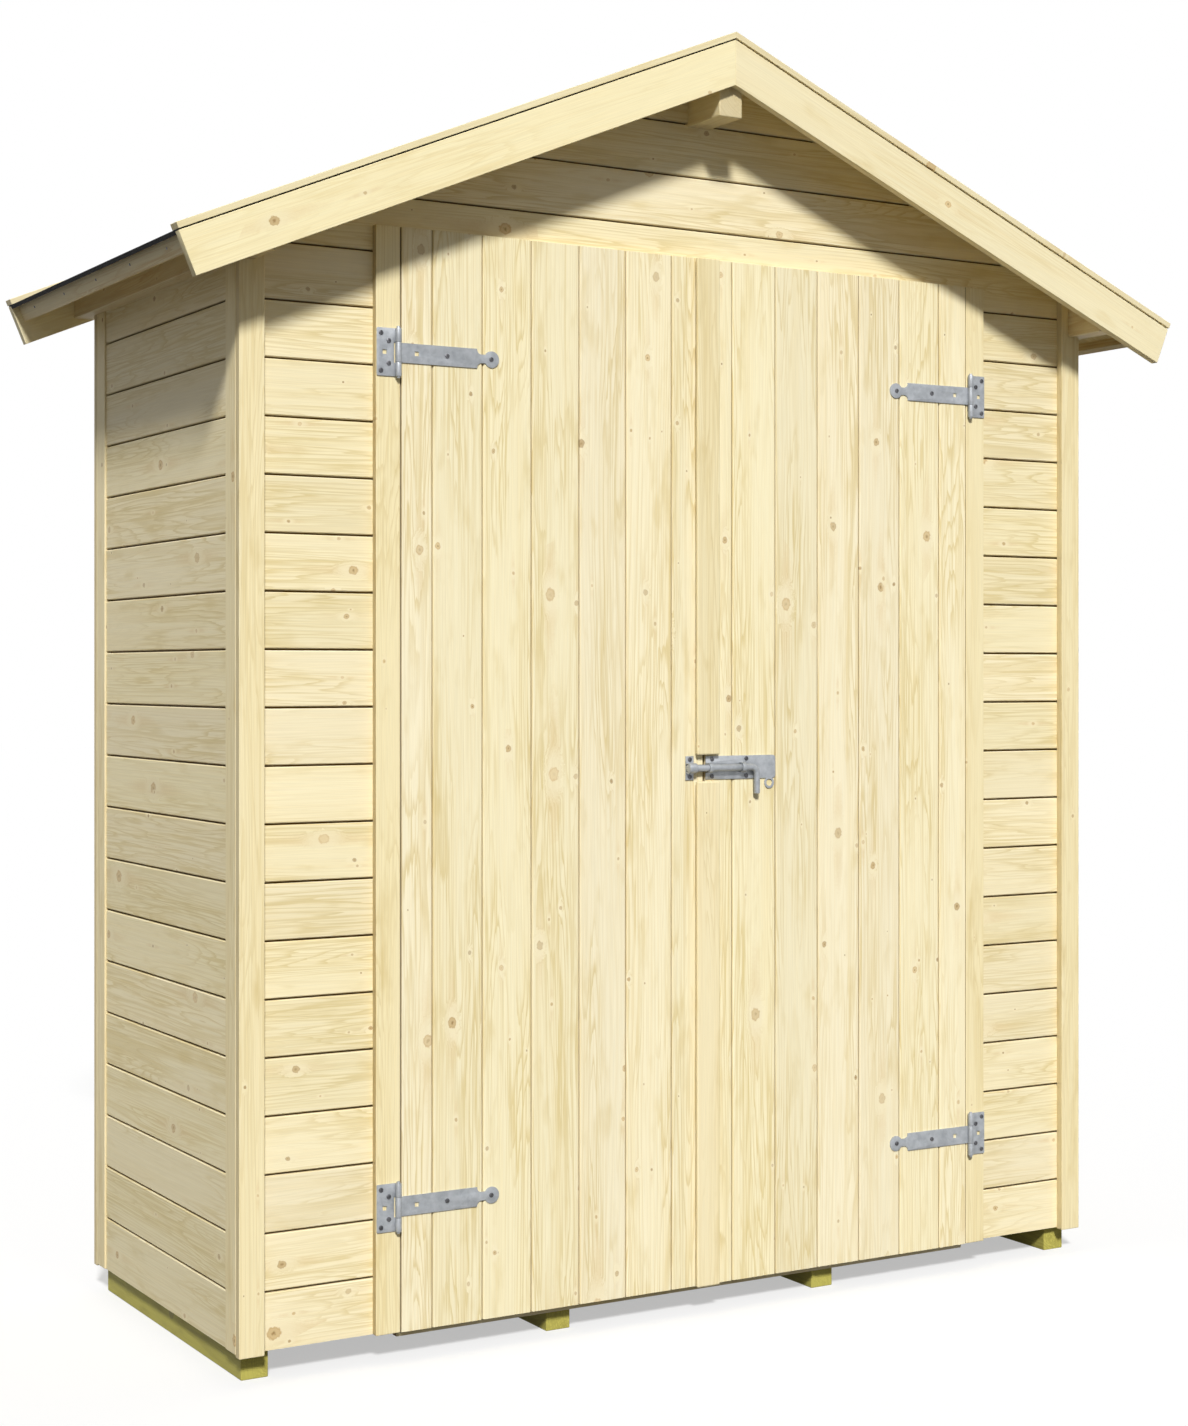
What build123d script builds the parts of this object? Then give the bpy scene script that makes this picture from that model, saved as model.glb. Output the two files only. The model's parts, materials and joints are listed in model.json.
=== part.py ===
from build123d import *

import os
from math import cos, radians, sin, tan

# Wooden garden shed with a pair of ledged doors, a felted gable roof and timber bearers.
# Millimetres. +X is to the right as seen from the doors, +Y runs to the back wall and +Z is up.
# The pieces are drawn about the middle of the body, and the export moves them together so that
# the origin is on the ground under the middle of the roof.

# Doors
leaf_width = 568.0
door_height = 1750.0
leaf_thickness = 14.0
leaf_gap = 5.0  # between the leaves
jamb_gap = 2.5  # between each leaf and its jamb
door_back_gap = 1.0  # between the back of the leaves and the face of the cladding
header_lap = 25.0  # how far the leaves cover the cladding over the doorway
ledge_width = 90.0
ledge_thickness = 16.0
ledge_inset = 20.0  # from the edges of a leaf to the ends of its ledges
brace_foot = 95.0  # length of a brace's level end cuts
brace_gap = 1.0
strip_width = 46.0
strip_thickness = 12.0
strip_lap = 18.0  # how far the cover strip reaches over the left leaf
strip_relief = 5.0  # clearance between the strip and the left leaf

# Walls and trims
side_panel_width = 253.0  # cladding on each side of the doorway, between the side walls
body_depth = 650.0  # over the cladding
side_wall_drop = 48.0  # from the head of the doorway down to the tops of the side walls
cladding_thickness = 16.0
trim_width = 42.0
face_trim_thickness = 15.0
face_trim_drop = 3.0  # below the cladding
side_trim_relief = 3.0  # how far the side boards of the corners stand out of the side walls
jamb_width = 42.0
jamb_relief = 1.0  # how far the jambs' faces lie behind the leaves' faces

# Base
bearer_width = 45.0
bearer_count = 4
bearer_side_setback = 12.0  # from the faces of the side walls
bearer_back_setback = 15.0
floor_thickness = 16.0
threshold_thickness = 15.0
threshold_drop = 10.0  # below the underside of the floor

# Frame timbers inside the walls
frame_width = 45.0
frame_depth = 28.0
post_lap = 15.0  # how far the door posts stand in behind the leaves

# Roof
roof_pitch = 22.8
eave_overhang = 136.5
front_overhang = 112.5
back_overhang = 82.5
deck_thickness = 16.0
felt_thickness = 2.0
felt_margin = 5.0  # from the barge boards' faces to the edges of the felt
felt_lip = 5.0  # how far the felt is turned down at the eaves
barge_depth = 70.0
barge_thickness = 15.0
cap_width = 26.0
cap_thickness = 10.0
cap_overhang = 2.5
eave_board_depth = 33.0
eave_board_thickness = 16.0
eave_setback = 12.0  # from the edge of the felt to the faces of the eave boards
ridge_beam_width = 45.0
ridge_beam_depth = 109.0
top_rail_width = 45.0
top_rail_depth = 53.0  # over the faces of the side walls
beam_fit = 0.5

# T-hinges
hinge_inset = 200.0  # from the ends of a leaf to the middle of its hinges
barrel_setback = 6.0  # from the doorway's edge to the hinge axis
knuckle_radius = 5.0
pin_radius = 3.0
pin_fit = 0.1
pin_end = 3.0
knuckle_gap = 0.5
plate_height = 76.0
plate_margin = 0.5  # from the outer edge of the jamb to the plate
plate_corner = 2.0
hinge_thickness = 2.0
strap_length = 182.0
strap_width = 31.5
strap_tip_radius = 13.5
strap_neck = 14.0
strap_notch_radius = 8.0
strap_notch_at = 150.0
square_hole = 7.0
strap_hole_at = 34.0
plate_hole_at = 22.0

# Sliding bolt
bolt_rise = 882.0  # from the foot of the doors to the bolt's axis
bolt_radius = 6.0
bolt_length = 141.0  # from the tip to the middle of the handle
handle_radius = 5.5
handle_drop = 46.0
handle_bend = 12.0
handle_end_radius = 2.0
bolt_fit = 0.6
bolt_float = 1.0  # between the bar and its plate
band_thickness = 2.0
band_width = 8.0
band_spacing = 67.5
bolt_plate_height = 40.0
bolt_plate_length = 144.5
bolt_plate_thickness = 2.0
bolt_plate_corner = 6.0
keeper_width = 16.0
keeper_height = 41.0
keeper_gap = 1.5  # between the keeper and the cover strip
strip_notch_gap = 2.0
eye_radius = 10.0
eye_hole_radius = 6.0
eye_inset = 13.0
eye_drop = 8.0

# Levels
floor_bottom = bearer_width
floor_top = floor_bottom + floor_thickness
door_foot = floor_bottom
door_head = door_foot + door_height
header_bottom = door_head - header_lap
side_top = header_bottom - side_wall_drop

# Plan of the body: the front and back walls end at the inner faces of the side walls
leaf_inner = leaf_gap / 2
leaf_outer = leaf_inner + leaf_width
doorway_half = leaf_outer + jamb_gap
half_width = doorway_half + side_panel_width
side_face = half_width + cladding_thickness
corner_face = side_face + side_trim_relief
half_depth = body_depth / 2
inner_half_depth = half_depth - cladding_thickness
door_back = -half_depth - door_back_gap
door_face = door_back - leaf_thickness
jamb_face = door_face + jamb_relief

# Top rails: on the side walls, with their middles over the walls' faces
top_rail_inner = side_face - top_rail_width / 2
top_rail_outer = side_face + top_rail_width / 2

# Roof planes: the deck lies on the top rails and on the ridge beam
pitch = radians(roof_pitch)
ridge_under = side_top + top_rail_depth + side_face * tan(pitch)
ridge_top = ridge_under + deck_thickness / cos(pitch)
slope_length = (side_face + eave_overhang) / cos(pitch)
barge_front = -half_depth - front_overhang
barge_rear = half_depth + back_overhang
roof_span = (barge_front + barge_thickness, barge_rear - barge_thickness)
beam_bottom = ridge_under - ridge_beam_depth
right_slope = Plane(
    origin=(0, 0, ridge_top),
    x_dir=(cos(pitch), 0, -sin(pitch)),
    z_dir=(sin(pitch), 0, cos(pitch)),
)
left_slope = Plane(
    origin=(0, 0, ridge_top),
    x_dir=(cos(pitch), 0, sin(pitch)),
    z_dir=(-sin(pitch), 0, cos(pitch)),
)
right_soffit = right_slope.offset(-deck_thickness)
left_soffit = left_slope.offset(-deck_thickness)

# Hinge and bolt axes
hinge_x = doorway_half + barrel_setback
hinge_y = door_face - knuckle_radius
hinge_levels = (door_foot + hinge_inset, door_head - hinge_inset)
bolt_level = door_foot + bolt_rise
bolt_plate_face = door_face - bolt_plate_thickness
bolt_y = bolt_plate_face - bolt_float - bolt_radius
strip_left = -leaf_inner - strip_lap
strip_right = strip_left + strip_width
keeper_right = strip_left - keeper_gap
keeper_left = keeper_right - keeper_width
ledge_levels = (hinge_levels[0], bolt_level, hinge_levels[1])

CORNER = (Align.MIN, Align.MIN, Align.MIN)


def facing(y):
    """Upright plane at depth y, drawn on as seen from the doors."""
    return Plane.XZ.offset(-y)


def timber(x_span, y_span, z_span):
    """Add a straight timber that fills three spans to the part being built."""
    with Locations((x_span[0], y_span[0], z_span[0])):
        Box(x_span[1] - x_span[0], y_span[1] - y_span[0], z_span[1] - z_span[0], align=CORNER)


def slope_board(run_span, y_span, top, thickness):
    """Add a board that lies in the right-hand roof slope to the part being built."""
    with Locations(right_slope):
        with Locations((run_span[0], y_span[0], top - thickness)):
            Box(run_span[1] - run_span[0], y_span[1] - y_span[0], thickness, align=CORNER)


def front_and_back(y_from, y_to):
    """The same span of depth at the front and at the back of the body."""
    return ((-y_to, -y_from), (y_from, y_to))


def roof_ends(inset, width):
    """Spans of depth at both ends of the roof, set in from the faces of the barge boards."""
    return (
        (barge_front + inset, barge_front + inset + width),
        (barge_rear - inset - width, barge_rear - inset),
    )


def cut_under_roof():
    """Cut the part being built off along the underside of both roof slopes."""
    split(bisect_by=right_soffit, keep=Keep.BOTTOM)
    split(bisect_by=left_soffit, keep=Keep.BOTTOM)


def cut_for_beams():
    """Cut the ways for the ridge beam and the top rails through the part being built."""
    with Locations((0, 0, beam_bottom)):
        Box(
            ridge_beam_width + 2 * beam_fit,
            barge_rear - barge_front,
            ridge_beam_depth,
            align=(Align.CENTER, Align.CENTER, Align.MIN),
            mode=Mode.SUBTRACT,
        )
    with Locations((side_face, 0, side_top), (-side_face, 0, side_top)):
        Box(
            top_rail_width + 2 * beam_fit,
            barge_rear - barge_front,
            ridge_top - side_top,
            align=(Align.CENTER, Align.CENTER, Align.MIN),
            mode=Mode.SUBTRACT,
        )


# Base: bearers from front to back, the floor on them and the threshold board across their ends
bearer_front = -half_depth + threshold_thickness
bearer_back = half_depth - bearer_back_setback
bearer_spacing = (2 * (side_face - bearer_side_setback) - bearer_width) / (bearer_count - 1)
with BuildPart() as bearers:
    with BuildSketch(facing(bearer_back)):
        with Locations((0, bearer_width / 2)):
            with GridLocations(bearer_spacing, bearer_width, bearer_count, 1):
                Rectangle(bearer_width, bearer_width)
    extrude(amount=bearer_back - bearer_front)

with BuildPart() as floor_deck:
    timber((-half_width, half_width), (-inner_half_depth, inner_half_depth), (floor_bottom, floor_top))
    timber((-doorway_half, doorway_half), (bearer_front, 0), (floor_bottom, floor_top))

with BuildPart() as threshold:
    timber(
        (-doorway_half, doorway_half),
        (-half_depth, bearer_front),
        (floor_bottom - threshold_drop, floor_top),
    )

# Cladding: front panels beside the doorway, gable over it, back wall and side walls
with BuildPart() as front_wall_right:
    timber((doorway_half, half_width), (-half_depth, -inner_half_depth), (floor_bottom, header_bottom))
    cut_for_beams()

with BuildPart() as front_wall_left:
    mirror(front_wall_right.part, about=Plane.YZ)

with BuildPart() as front_gable:
    timber((-half_width, half_width), (-half_depth, -inner_half_depth), (header_bottom, ridge_top))
    cut_under_roof()
    cut_for_beams()

with BuildPart() as back_wall:
    timber((-half_width, half_width), (inner_half_depth, half_depth), (floor_bottom, ridge_top))
    cut_under_roof()
    cut_for_beams()

side_half_length = half_depth - trim_width
with BuildPart() as right_wall:
    timber((half_width, side_face), (-side_half_length, side_half_length), (floor_bottom, side_top))

with BuildPart() as left_wall:
    mirror(right_wall.part, about=Plane.YZ)

# Trims: the side boards of the corners close the ends of the walls, the face boards cover their edges
with BuildPart() as corner_face_boards:
    for y_span in front_and_back(half_depth, half_depth + face_trim_thickness):
        timber((corner_face - trim_width, corner_face), y_span, (floor_bottom - face_trim_drop, ridge_top))
    mirror(about=Plane.YZ)
    cut_under_roof()
    cut_for_beams()

with BuildPart() as corner_side_boards:
    for y_span in front_and_back(side_half_length, half_depth):
        timber((half_width, corner_face), y_span, (floor_bottom, side_top))
    mirror(about=Plane.YZ)

with BuildPart() as door_trims:
    timber((doorway_half, doorway_half + jamb_width), (jamb_face, -half_depth), (door_foot, door_head))
    mirror(about=Plane.YZ)

# Frame inside the walls, standing on the floor
post_inner = doorway_half - post_lap
post_outer = post_inner + frame_width
corner_inner = half_width - frame_width
rail_half_depth = inner_half_depth - frame_depth
rail_top = floor_top + frame_width
with BuildPart() as corner_posts:
    for y_span in front_and_back(rail_half_depth, inner_half_depth):
        timber((corner_inner, half_width), y_span, (floor_top, ridge_top))
    mirror(about=Plane.YZ)
    cut_under_roof()
    cut_for_beams()

with BuildPart() as door_posts:
    timber((post_inner, post_outer), (-inner_half_depth, -rail_half_depth), (floor_top, header_bottom))
    mirror(about=Plane.YZ)

with BuildPart() as bottom_rails:
    timber((post_outer, corner_inner), (-inner_half_depth, -rail_half_depth), (floor_top, rail_top))
    timber((half_width - frame_depth, half_width), (-rail_half_depth, rail_half_depth), (floor_top, rail_top))
    timber((0, corner_inner), (rail_half_depth, inner_half_depth), (floor_top, rail_top))
    mirror(about=Plane.YZ)

with BuildPart() as head_rails:
    for y_span in front_and_back(rail_half_depth, inner_half_depth):
        timber((-corner_inner, corner_inner), y_span, (header_bottom, header_bottom + frame_width))
    cut_under_roof()

with BuildPart() as back_stud:
    timber(
        (-frame_width / 2, frame_width / 2),
        (rail_half_depth, inner_half_depth),
        (rail_top, header_bottom),
    )

# Roof: top rails on the side walls, ridge beam in the gables' notches, deck, one sheet of felt,
# eave boards, barge boards and caps
with BuildPart() as side_top_rails:
    timber((top_rail_inner, top_rail_outer), roof_span, (side_top, ridge_top))
    mirror(about=Plane.YZ)
    cut_under_roof()

with BuildPart() as ridge_beam:
    timber((-ridge_beam_width / 2, ridge_beam_width / 2), roof_span, (beam_bottom, ridge_top))
    cut_under_roof()

run_past_ridge = -barge_depth
eave_run = slope_length - eave_setback
deck_run = eave_run - eave_board_thickness
with BuildPart() as roof_deck_right:
    slope_board((run_past_ridge, deck_run), roof_span, 0, deck_thickness)
    split(bisect_by=Plane.YZ, keep=Keep.TOP)

with BuildPart() as roof_deck_left:
    mirror(roof_deck_right.part, about=Plane.YZ)

felt_span = (barge_front + felt_margin, barge_rear - felt_margin)
with BuildPart() as roof_felt:
    slope_board((run_past_ridge, slope_length), felt_span, felt_thickness, felt_thickness)
    slope_board(
        (slope_length - felt_thickness, slope_length), roof_span, felt_thickness, felt_thickness + felt_lip
    )
    split(bisect_by=Plane.YZ, keep=Keep.TOP)
    mirror(about=Plane.YZ)

with BuildPart() as eave_board_right:
    slope_board((deck_run, eave_run), roof_span, 0, eave_board_depth)

with BuildPart() as eave_board_left:
    mirror(eave_board_right.part, about=Plane.YZ)

with BuildPart() as right_barge_boards:
    for y_span in roof_ends(0, barge_thickness):
        slope_board((run_past_ridge, slope_length), y_span, 0, barge_depth)
    split(bisect_by=Plane.YZ, keep=Keep.TOP)

with BuildPart() as left_barge_boards:
    mirror(right_barge_boards.part, about=Plane.YZ)

cap_top = felt_thickness + cap_thickness
with BuildPart() as right_barge_caps:
    for y_span in roof_ends(-cap_overhang, cap_width):
        slope_board((run_past_ridge, slope_length), y_span, cap_top, cap_thickness)
    split(bisect_by=Plane.YZ, keep=Keep.TOP)

with BuildPart() as left_barge_caps:
    mirror(right_barge_caps.part, about=Plane.YZ)

# Hinges: plates and pins on the jambs, the straps' knuckles turn between the plates' knuckles
plate_outer = doorway_half + jamb_width - plate_margin
notch_height = strap_width + 2 * knuckle_gap
knuckle_length = (plate_height - notch_height) / 2
with BuildPart() as hinge_plates:
    with BuildSketch(facing(jamb_face)):
        with Locations(*[(0, level) for level in hinge_levels]):
            with Locations(((hinge_x + plate_outer) / 2, 0)):
                Rectangle(plate_outer - hinge_x, plate_height)
        fillet(vertices().group_by(Axis.X)[-1], radius=plate_corner)
        with Locations(*[(0, level) for level in hinge_levels]):
            with Locations((hinge_x, 0)):
                Rectangle(2 * (knuckle_radius + knuckle_gap), notch_height, mode=Mode.SUBTRACT)
            with Locations((hinge_x + plate_hole_at, 0)):
                Rectangle(square_hole, square_hole, mode=Mode.SUBTRACT)
    extrude(amount=hinge_thickness)
    for level in hinge_levels:
        for bottom in (level - plate_height / 2, level + notch_height / 2):
            with BuildSketch(Plane.XY.offset(bottom)):
                with Locations((hinge_x, hinge_y)):
                    Circle(knuckle_radius)
            extrude(amount=knuckle_length)
            with BuildSketch(Plane.XY.offset(bottom)):
                with Locations((hinge_x, hinge_y)):
                    Circle(pin_radius + pin_fit)
            extrude(amount=knuckle_length, mode=Mode.SUBTRACT)
    mirror(about=Plane.YZ)

with BuildPart() as hinge_pins:
    for level in hinge_levels:
        with BuildSketch(Plane.XY.offset(level - plate_height / 2 - pin_end)):
            with Locations((hinge_x, hinge_y)):
                Circle(pin_radius)
        extrude(amount=plate_height + 2 * pin_end)
    mirror(about=Plane.YZ)

with BuildPart() as right_hinge_straps:
    with BuildSketch(facing(door_face)):
        with Locations(*[(hinge_x, level) for level in hinge_levels]):
            with Locations((-strap_notch_at / 2, 0)):
                Rectangle(strap_notch_at, strap_width)
            with Locations((-strap_length + strap_tip_radius, 0)):
                Circle(strap_tip_radius)
            notch_centre = strap_neck / 2 + strap_notch_radius
            with Locations((-strap_notch_at, notch_centre), (-strap_notch_at, -notch_centre)):
                Circle(strap_notch_radius, mode=Mode.SUBTRACT)
            with Locations((-strap_hole_at, 0)):
                Rectangle(square_hole, square_hole, mode=Mode.SUBTRACT)
            with Locations((-(strap_notch_at + strap_length) / 2 + strap_tip_radius, 0)):
                Rectangle(strap_length - strap_notch_at, strap_neck)
    extrude(amount=hinge_thickness)
    for level in hinge_levels:
        with BuildSketch(Plane.XY.offset(level - strap_width / 2)):
            with Locations((hinge_x, hinge_y)):
                Circle(knuckle_radius)
        extrude(amount=strap_width)
        with BuildSketch(Plane.XY.offset(level - strap_width / 2)):
            with Locations((hinge_x, hinge_y)):
                Circle(pin_radius + pin_fit)
        extrude(amount=strap_width, mode=Mode.SUBTRACT)

with BuildPart() as left_hinge_straps:
    mirror(right_hinge_straps.part, about=Plane.YZ)

# Doors: boards, ledges and braces behind them
with BuildPart() as right_door_boards:
    timber((leaf_inner, leaf_outer), (door_face, door_back), (door_foot, door_head))

with BuildPart() as left_door_boards:
    mirror(right_door_boards.part, about=Plane.YZ)

ledge_inner = leaf_inner + ledge_inset
ledge_outer = leaf_outer - ledge_inset
ledge_back = door_back + ledge_thickness
with BuildPart() as right_door_ledges:
    for level in ledge_levels:
        timber(
            (ledge_inner, ledge_outer),
            (door_back, ledge_back),
            (level - ledge_width / 2, level + ledge_width / 2),
        )
    with BuildSketch(facing(ledge_back)):
        for low, high in zip(ledge_levels, ledge_levels[1:]):
            brace_low = low + ledge_width / 2 + brace_gap
            brace_high = high - ledge_width / 2 - brace_gap
            with BuildLine():
                Polyline(
                    (ledge_outer - brace_foot, brace_low),
                    (ledge_outer, brace_low),
                    (ledge_inner + brace_foot, brace_high),
                    (ledge_inner, brace_high),
                    close=True,
                )
            make_face()
    extrude(amount=ledge_thickness)

with BuildPart() as left_door_ledges:
    mirror(right_door_ledges.part, about=Plane.YZ)

# Cover strip in two lengths, above and below the bolt, rebated where it laps over the left leaf
strip_front = door_face - strip_thickness
strip_notch = keeper_height / 2 + strip_notch_gap
strip_spans = ((door_foot, bolt_level - strip_notch), (bolt_level + strip_notch, door_head))
with BuildPart() as door_cover_strip:
    for z_span in strip_spans:
        timber((strip_left, strip_right), (strip_front, door_face), z_span)
    with Locations((leaf_inner, door_face, door_foot)):
        Box(
            leaf_inner - strip_left,
            2 * strip_relief,
            door_height,
            align=(Align.MAX, Align.CENTER, Align.MIN),
            mode=Mode.SUBTRACT,
        )

# Bolt: keeper on the left leaf, plate on the right leaf, and the bar that slides through their bands
band_inner = bolt_radius + bolt_fit
band_outer = band_inner + band_thickness
bolt_plate_left = leaf_inner
bolt_plate_right = bolt_plate_left + bolt_plate_length
with BuildPart() as bolt_keeper:
    with BuildSketch(facing(door_face)):
        with Locations(((keeper_left + keeper_right) / 2, bolt_level)):
            Rectangle(keeper_width, keeper_height)
    extrude(amount=bolt_plate_thickness)
    with BuildSketch(Plane.YZ.offset(keeper_left)):
        with Locations((bolt_y, bolt_level)):
            Circle(band_outer)
            Rectangle(door_face - bolt_y, 2 * band_outer, align=(Align.MIN, Align.CENTER))
    extrude(amount=keeper_width)
    with BuildSketch(Plane.YZ.offset(keeper_left)):
        with Locations((bolt_y, bolt_level)):
            Circle(band_inner)
            Rectangle(bolt_plate_face - bolt_y, 2 * band_inner, align=(Align.MIN, Align.CENTER))
    extrude(amount=keeper_width, mode=Mode.SUBTRACT)

with BuildPart() as bolt_plate:
    with BuildSketch(facing(door_face)):
        with Locations(((bolt_plate_left + bolt_plate_right) / 2, bolt_level)):
            Rectangle(bolt_plate_length, bolt_plate_height)
        right_corners = vertices().group_by(Axis.X)[-1]
        fillet(right_corners, radius=bolt_plate_corner)
        eye_level = bolt_level - bolt_plate_height / 2 - eye_drop
        with Locations((bolt_plate_right - eye_inset, eye_level)):
            Circle(eye_radius)
            Circle(eye_hole_radius, mode=Mode.SUBTRACT)
    extrude(amount=bolt_plate_thickness)
    for band_start in (bolt_plate_left, bolt_plate_left + band_spacing):
        with BuildSketch(Plane.YZ.offset(band_start)):
            with Locations((bolt_y, bolt_level)):
                Circle(band_outer)
                Rectangle(bolt_plate_face - bolt_y, 2 * band_outer, align=(Align.MIN, Align.CENTER))
                Circle(band_inner, mode=Mode.SUBTRACT)
                Rectangle(
                    bolt_plate_face - bolt_y,
                    2 * band_inner,
                    align=(Align.MIN, Align.CENTER),
                    mode=Mode.SUBTRACT,
                )
        extrude(amount=band_width)

handle_x = keeper_left + bolt_length
with BuildPart() as bolt_bar:
    with BuildLine() as bolt_path:
        FilletPolyline(
            (keeper_left, bolt_y, bolt_level),
            (handle_x, bolt_y, bolt_level),
            (handle_x, bolt_y, bolt_level - handle_drop),
            radius=handle_bend,
        )
    with BuildSketch(Plane.YZ.offset(keeper_left)):
        with Locations((bolt_y, bolt_level)):
            Circle(handle_radius)
    sweep(path=bolt_path.line)
    handle_end = faces().sort_by(Axis.Z)[0]
    fillet(handle_end.edges(), radius=handle_end_radius)
    with BuildSketch(Plane.YZ.offset(keeper_left)):
        with Locations((bolt_y, bolt_level)):
            Circle(bolt_radius)
    extrude(amount=bolt_length - handle_bend)

pieces = {
    "bearers": bearers,
    "floor_deck": floor_deck,
    "threshold": threshold,
    "front_wall_left": front_wall_left,
    "front_wall_right": front_wall_right,
    "front_gable": front_gable,
    "back_wall": back_wall,
    "left_wall": left_wall,
    "right_wall": right_wall,
    "corner_face_boards": corner_face_boards,
    "corner_side_boards": corner_side_boards,
    "door_trims": door_trims,
    "corner_posts": corner_posts,
    "door_posts": door_posts,
    "back_stud": back_stud,
    "bottom_rails": bottom_rails,
    "head_rails": head_rails,
    "side_top_rails": side_top_rails,
    "ridge_beam": ridge_beam,
    "roof_deck_left": roof_deck_left,
    "roof_deck_right": roof_deck_right,
    "roof_felt": roof_felt,
    "eave_board_left": eave_board_left,
    "eave_board_right": eave_board_right,
    "left_barge_boards": left_barge_boards,
    "right_barge_boards": right_barge_boards,
    "left_barge_caps": left_barge_caps,
    "right_barge_caps": right_barge_caps,
    "hinge_plates": hinge_plates,
    "hinge_pins": hinge_pins,
    "left_door_boards": left_door_boards,
    "left_door_ledges": left_door_ledges,
    "left_hinge_straps": left_hinge_straps,
    "bolt_keeper": bolt_keeper,
    "right_door_boards": right_door_boards,
    "right_door_ledges": right_door_ledges,
    "right_hinge_straps": right_hinge_straps,
    "door_cover_strip": door_cover_strip,
    "bolt_plate": bolt_plate,
    "bolt_bar": bolt_bar,
}
roof_middle = (barge_front + barge_rear) / 2
os.makedirs("parts", exist_ok=True)
for name, piece in pieces.items():
    placed = piece.part.moved(Location((0, -roof_middle, 0)))
    placed.label = name
    export_step(placed, f"parts/{name}.step")
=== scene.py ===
"""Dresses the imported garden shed: boards, timbers, ironmongery, roofing felt, light and camera.

Every piece is in metres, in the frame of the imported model, and rides on one of its bodies.
"""
from __future__ import annotations

import json
import logging
import math
import random
from contextlib import contextmanager
from dataclasses import dataclass, field, replace
from enum import Enum
from typing import Callable, Iterator, Sequence

import bmesh
import bpy
from mathutils import Matrix, Vector


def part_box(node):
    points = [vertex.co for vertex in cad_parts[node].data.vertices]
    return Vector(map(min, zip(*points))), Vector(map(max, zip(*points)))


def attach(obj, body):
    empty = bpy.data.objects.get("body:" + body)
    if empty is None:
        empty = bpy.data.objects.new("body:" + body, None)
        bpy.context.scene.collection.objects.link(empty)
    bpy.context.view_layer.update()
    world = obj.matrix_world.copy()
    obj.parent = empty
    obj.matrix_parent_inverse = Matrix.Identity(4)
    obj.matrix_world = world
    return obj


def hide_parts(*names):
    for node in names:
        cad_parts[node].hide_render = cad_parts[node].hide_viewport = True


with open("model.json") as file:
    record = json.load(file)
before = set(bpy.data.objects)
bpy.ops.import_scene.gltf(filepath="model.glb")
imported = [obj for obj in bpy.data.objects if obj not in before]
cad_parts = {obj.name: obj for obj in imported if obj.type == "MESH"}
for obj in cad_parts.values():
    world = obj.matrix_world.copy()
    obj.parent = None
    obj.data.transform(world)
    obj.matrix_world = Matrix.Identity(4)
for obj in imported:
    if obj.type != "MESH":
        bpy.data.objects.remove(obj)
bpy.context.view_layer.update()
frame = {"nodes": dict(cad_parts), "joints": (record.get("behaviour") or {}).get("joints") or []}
LOG = logging.getLogger("shed")
MM = 0.001
# Two places nearer than this, in metres, are one
TOUCH = 1e-5
# Least cosine between a direction and a face that looks squarely along it, or at a slope to it
SQUARE_ON = 0.9
SLOPING = 0.8

Socket = bpy.types.NodeSocket
Colour = tuple[float, float, float, float]


class Body(Enum):
    """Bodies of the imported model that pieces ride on."""

    SHED = "shed"
    LEFT_DOOR = "left_door"
    RIGHT_DOOR = "right_door"
    BOLT = "bolt"


class Facing(Enum):
    """The way that the planed face of a wall looks."""

    FRONT = (0.0, -1.0, 0.0)
    BACK = (0.0, 1.0, 0.0)
    LEFT = (-1.0, 0.0, 0.0)
    RIGHT = (1.0, 0.0, 0.0)


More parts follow.
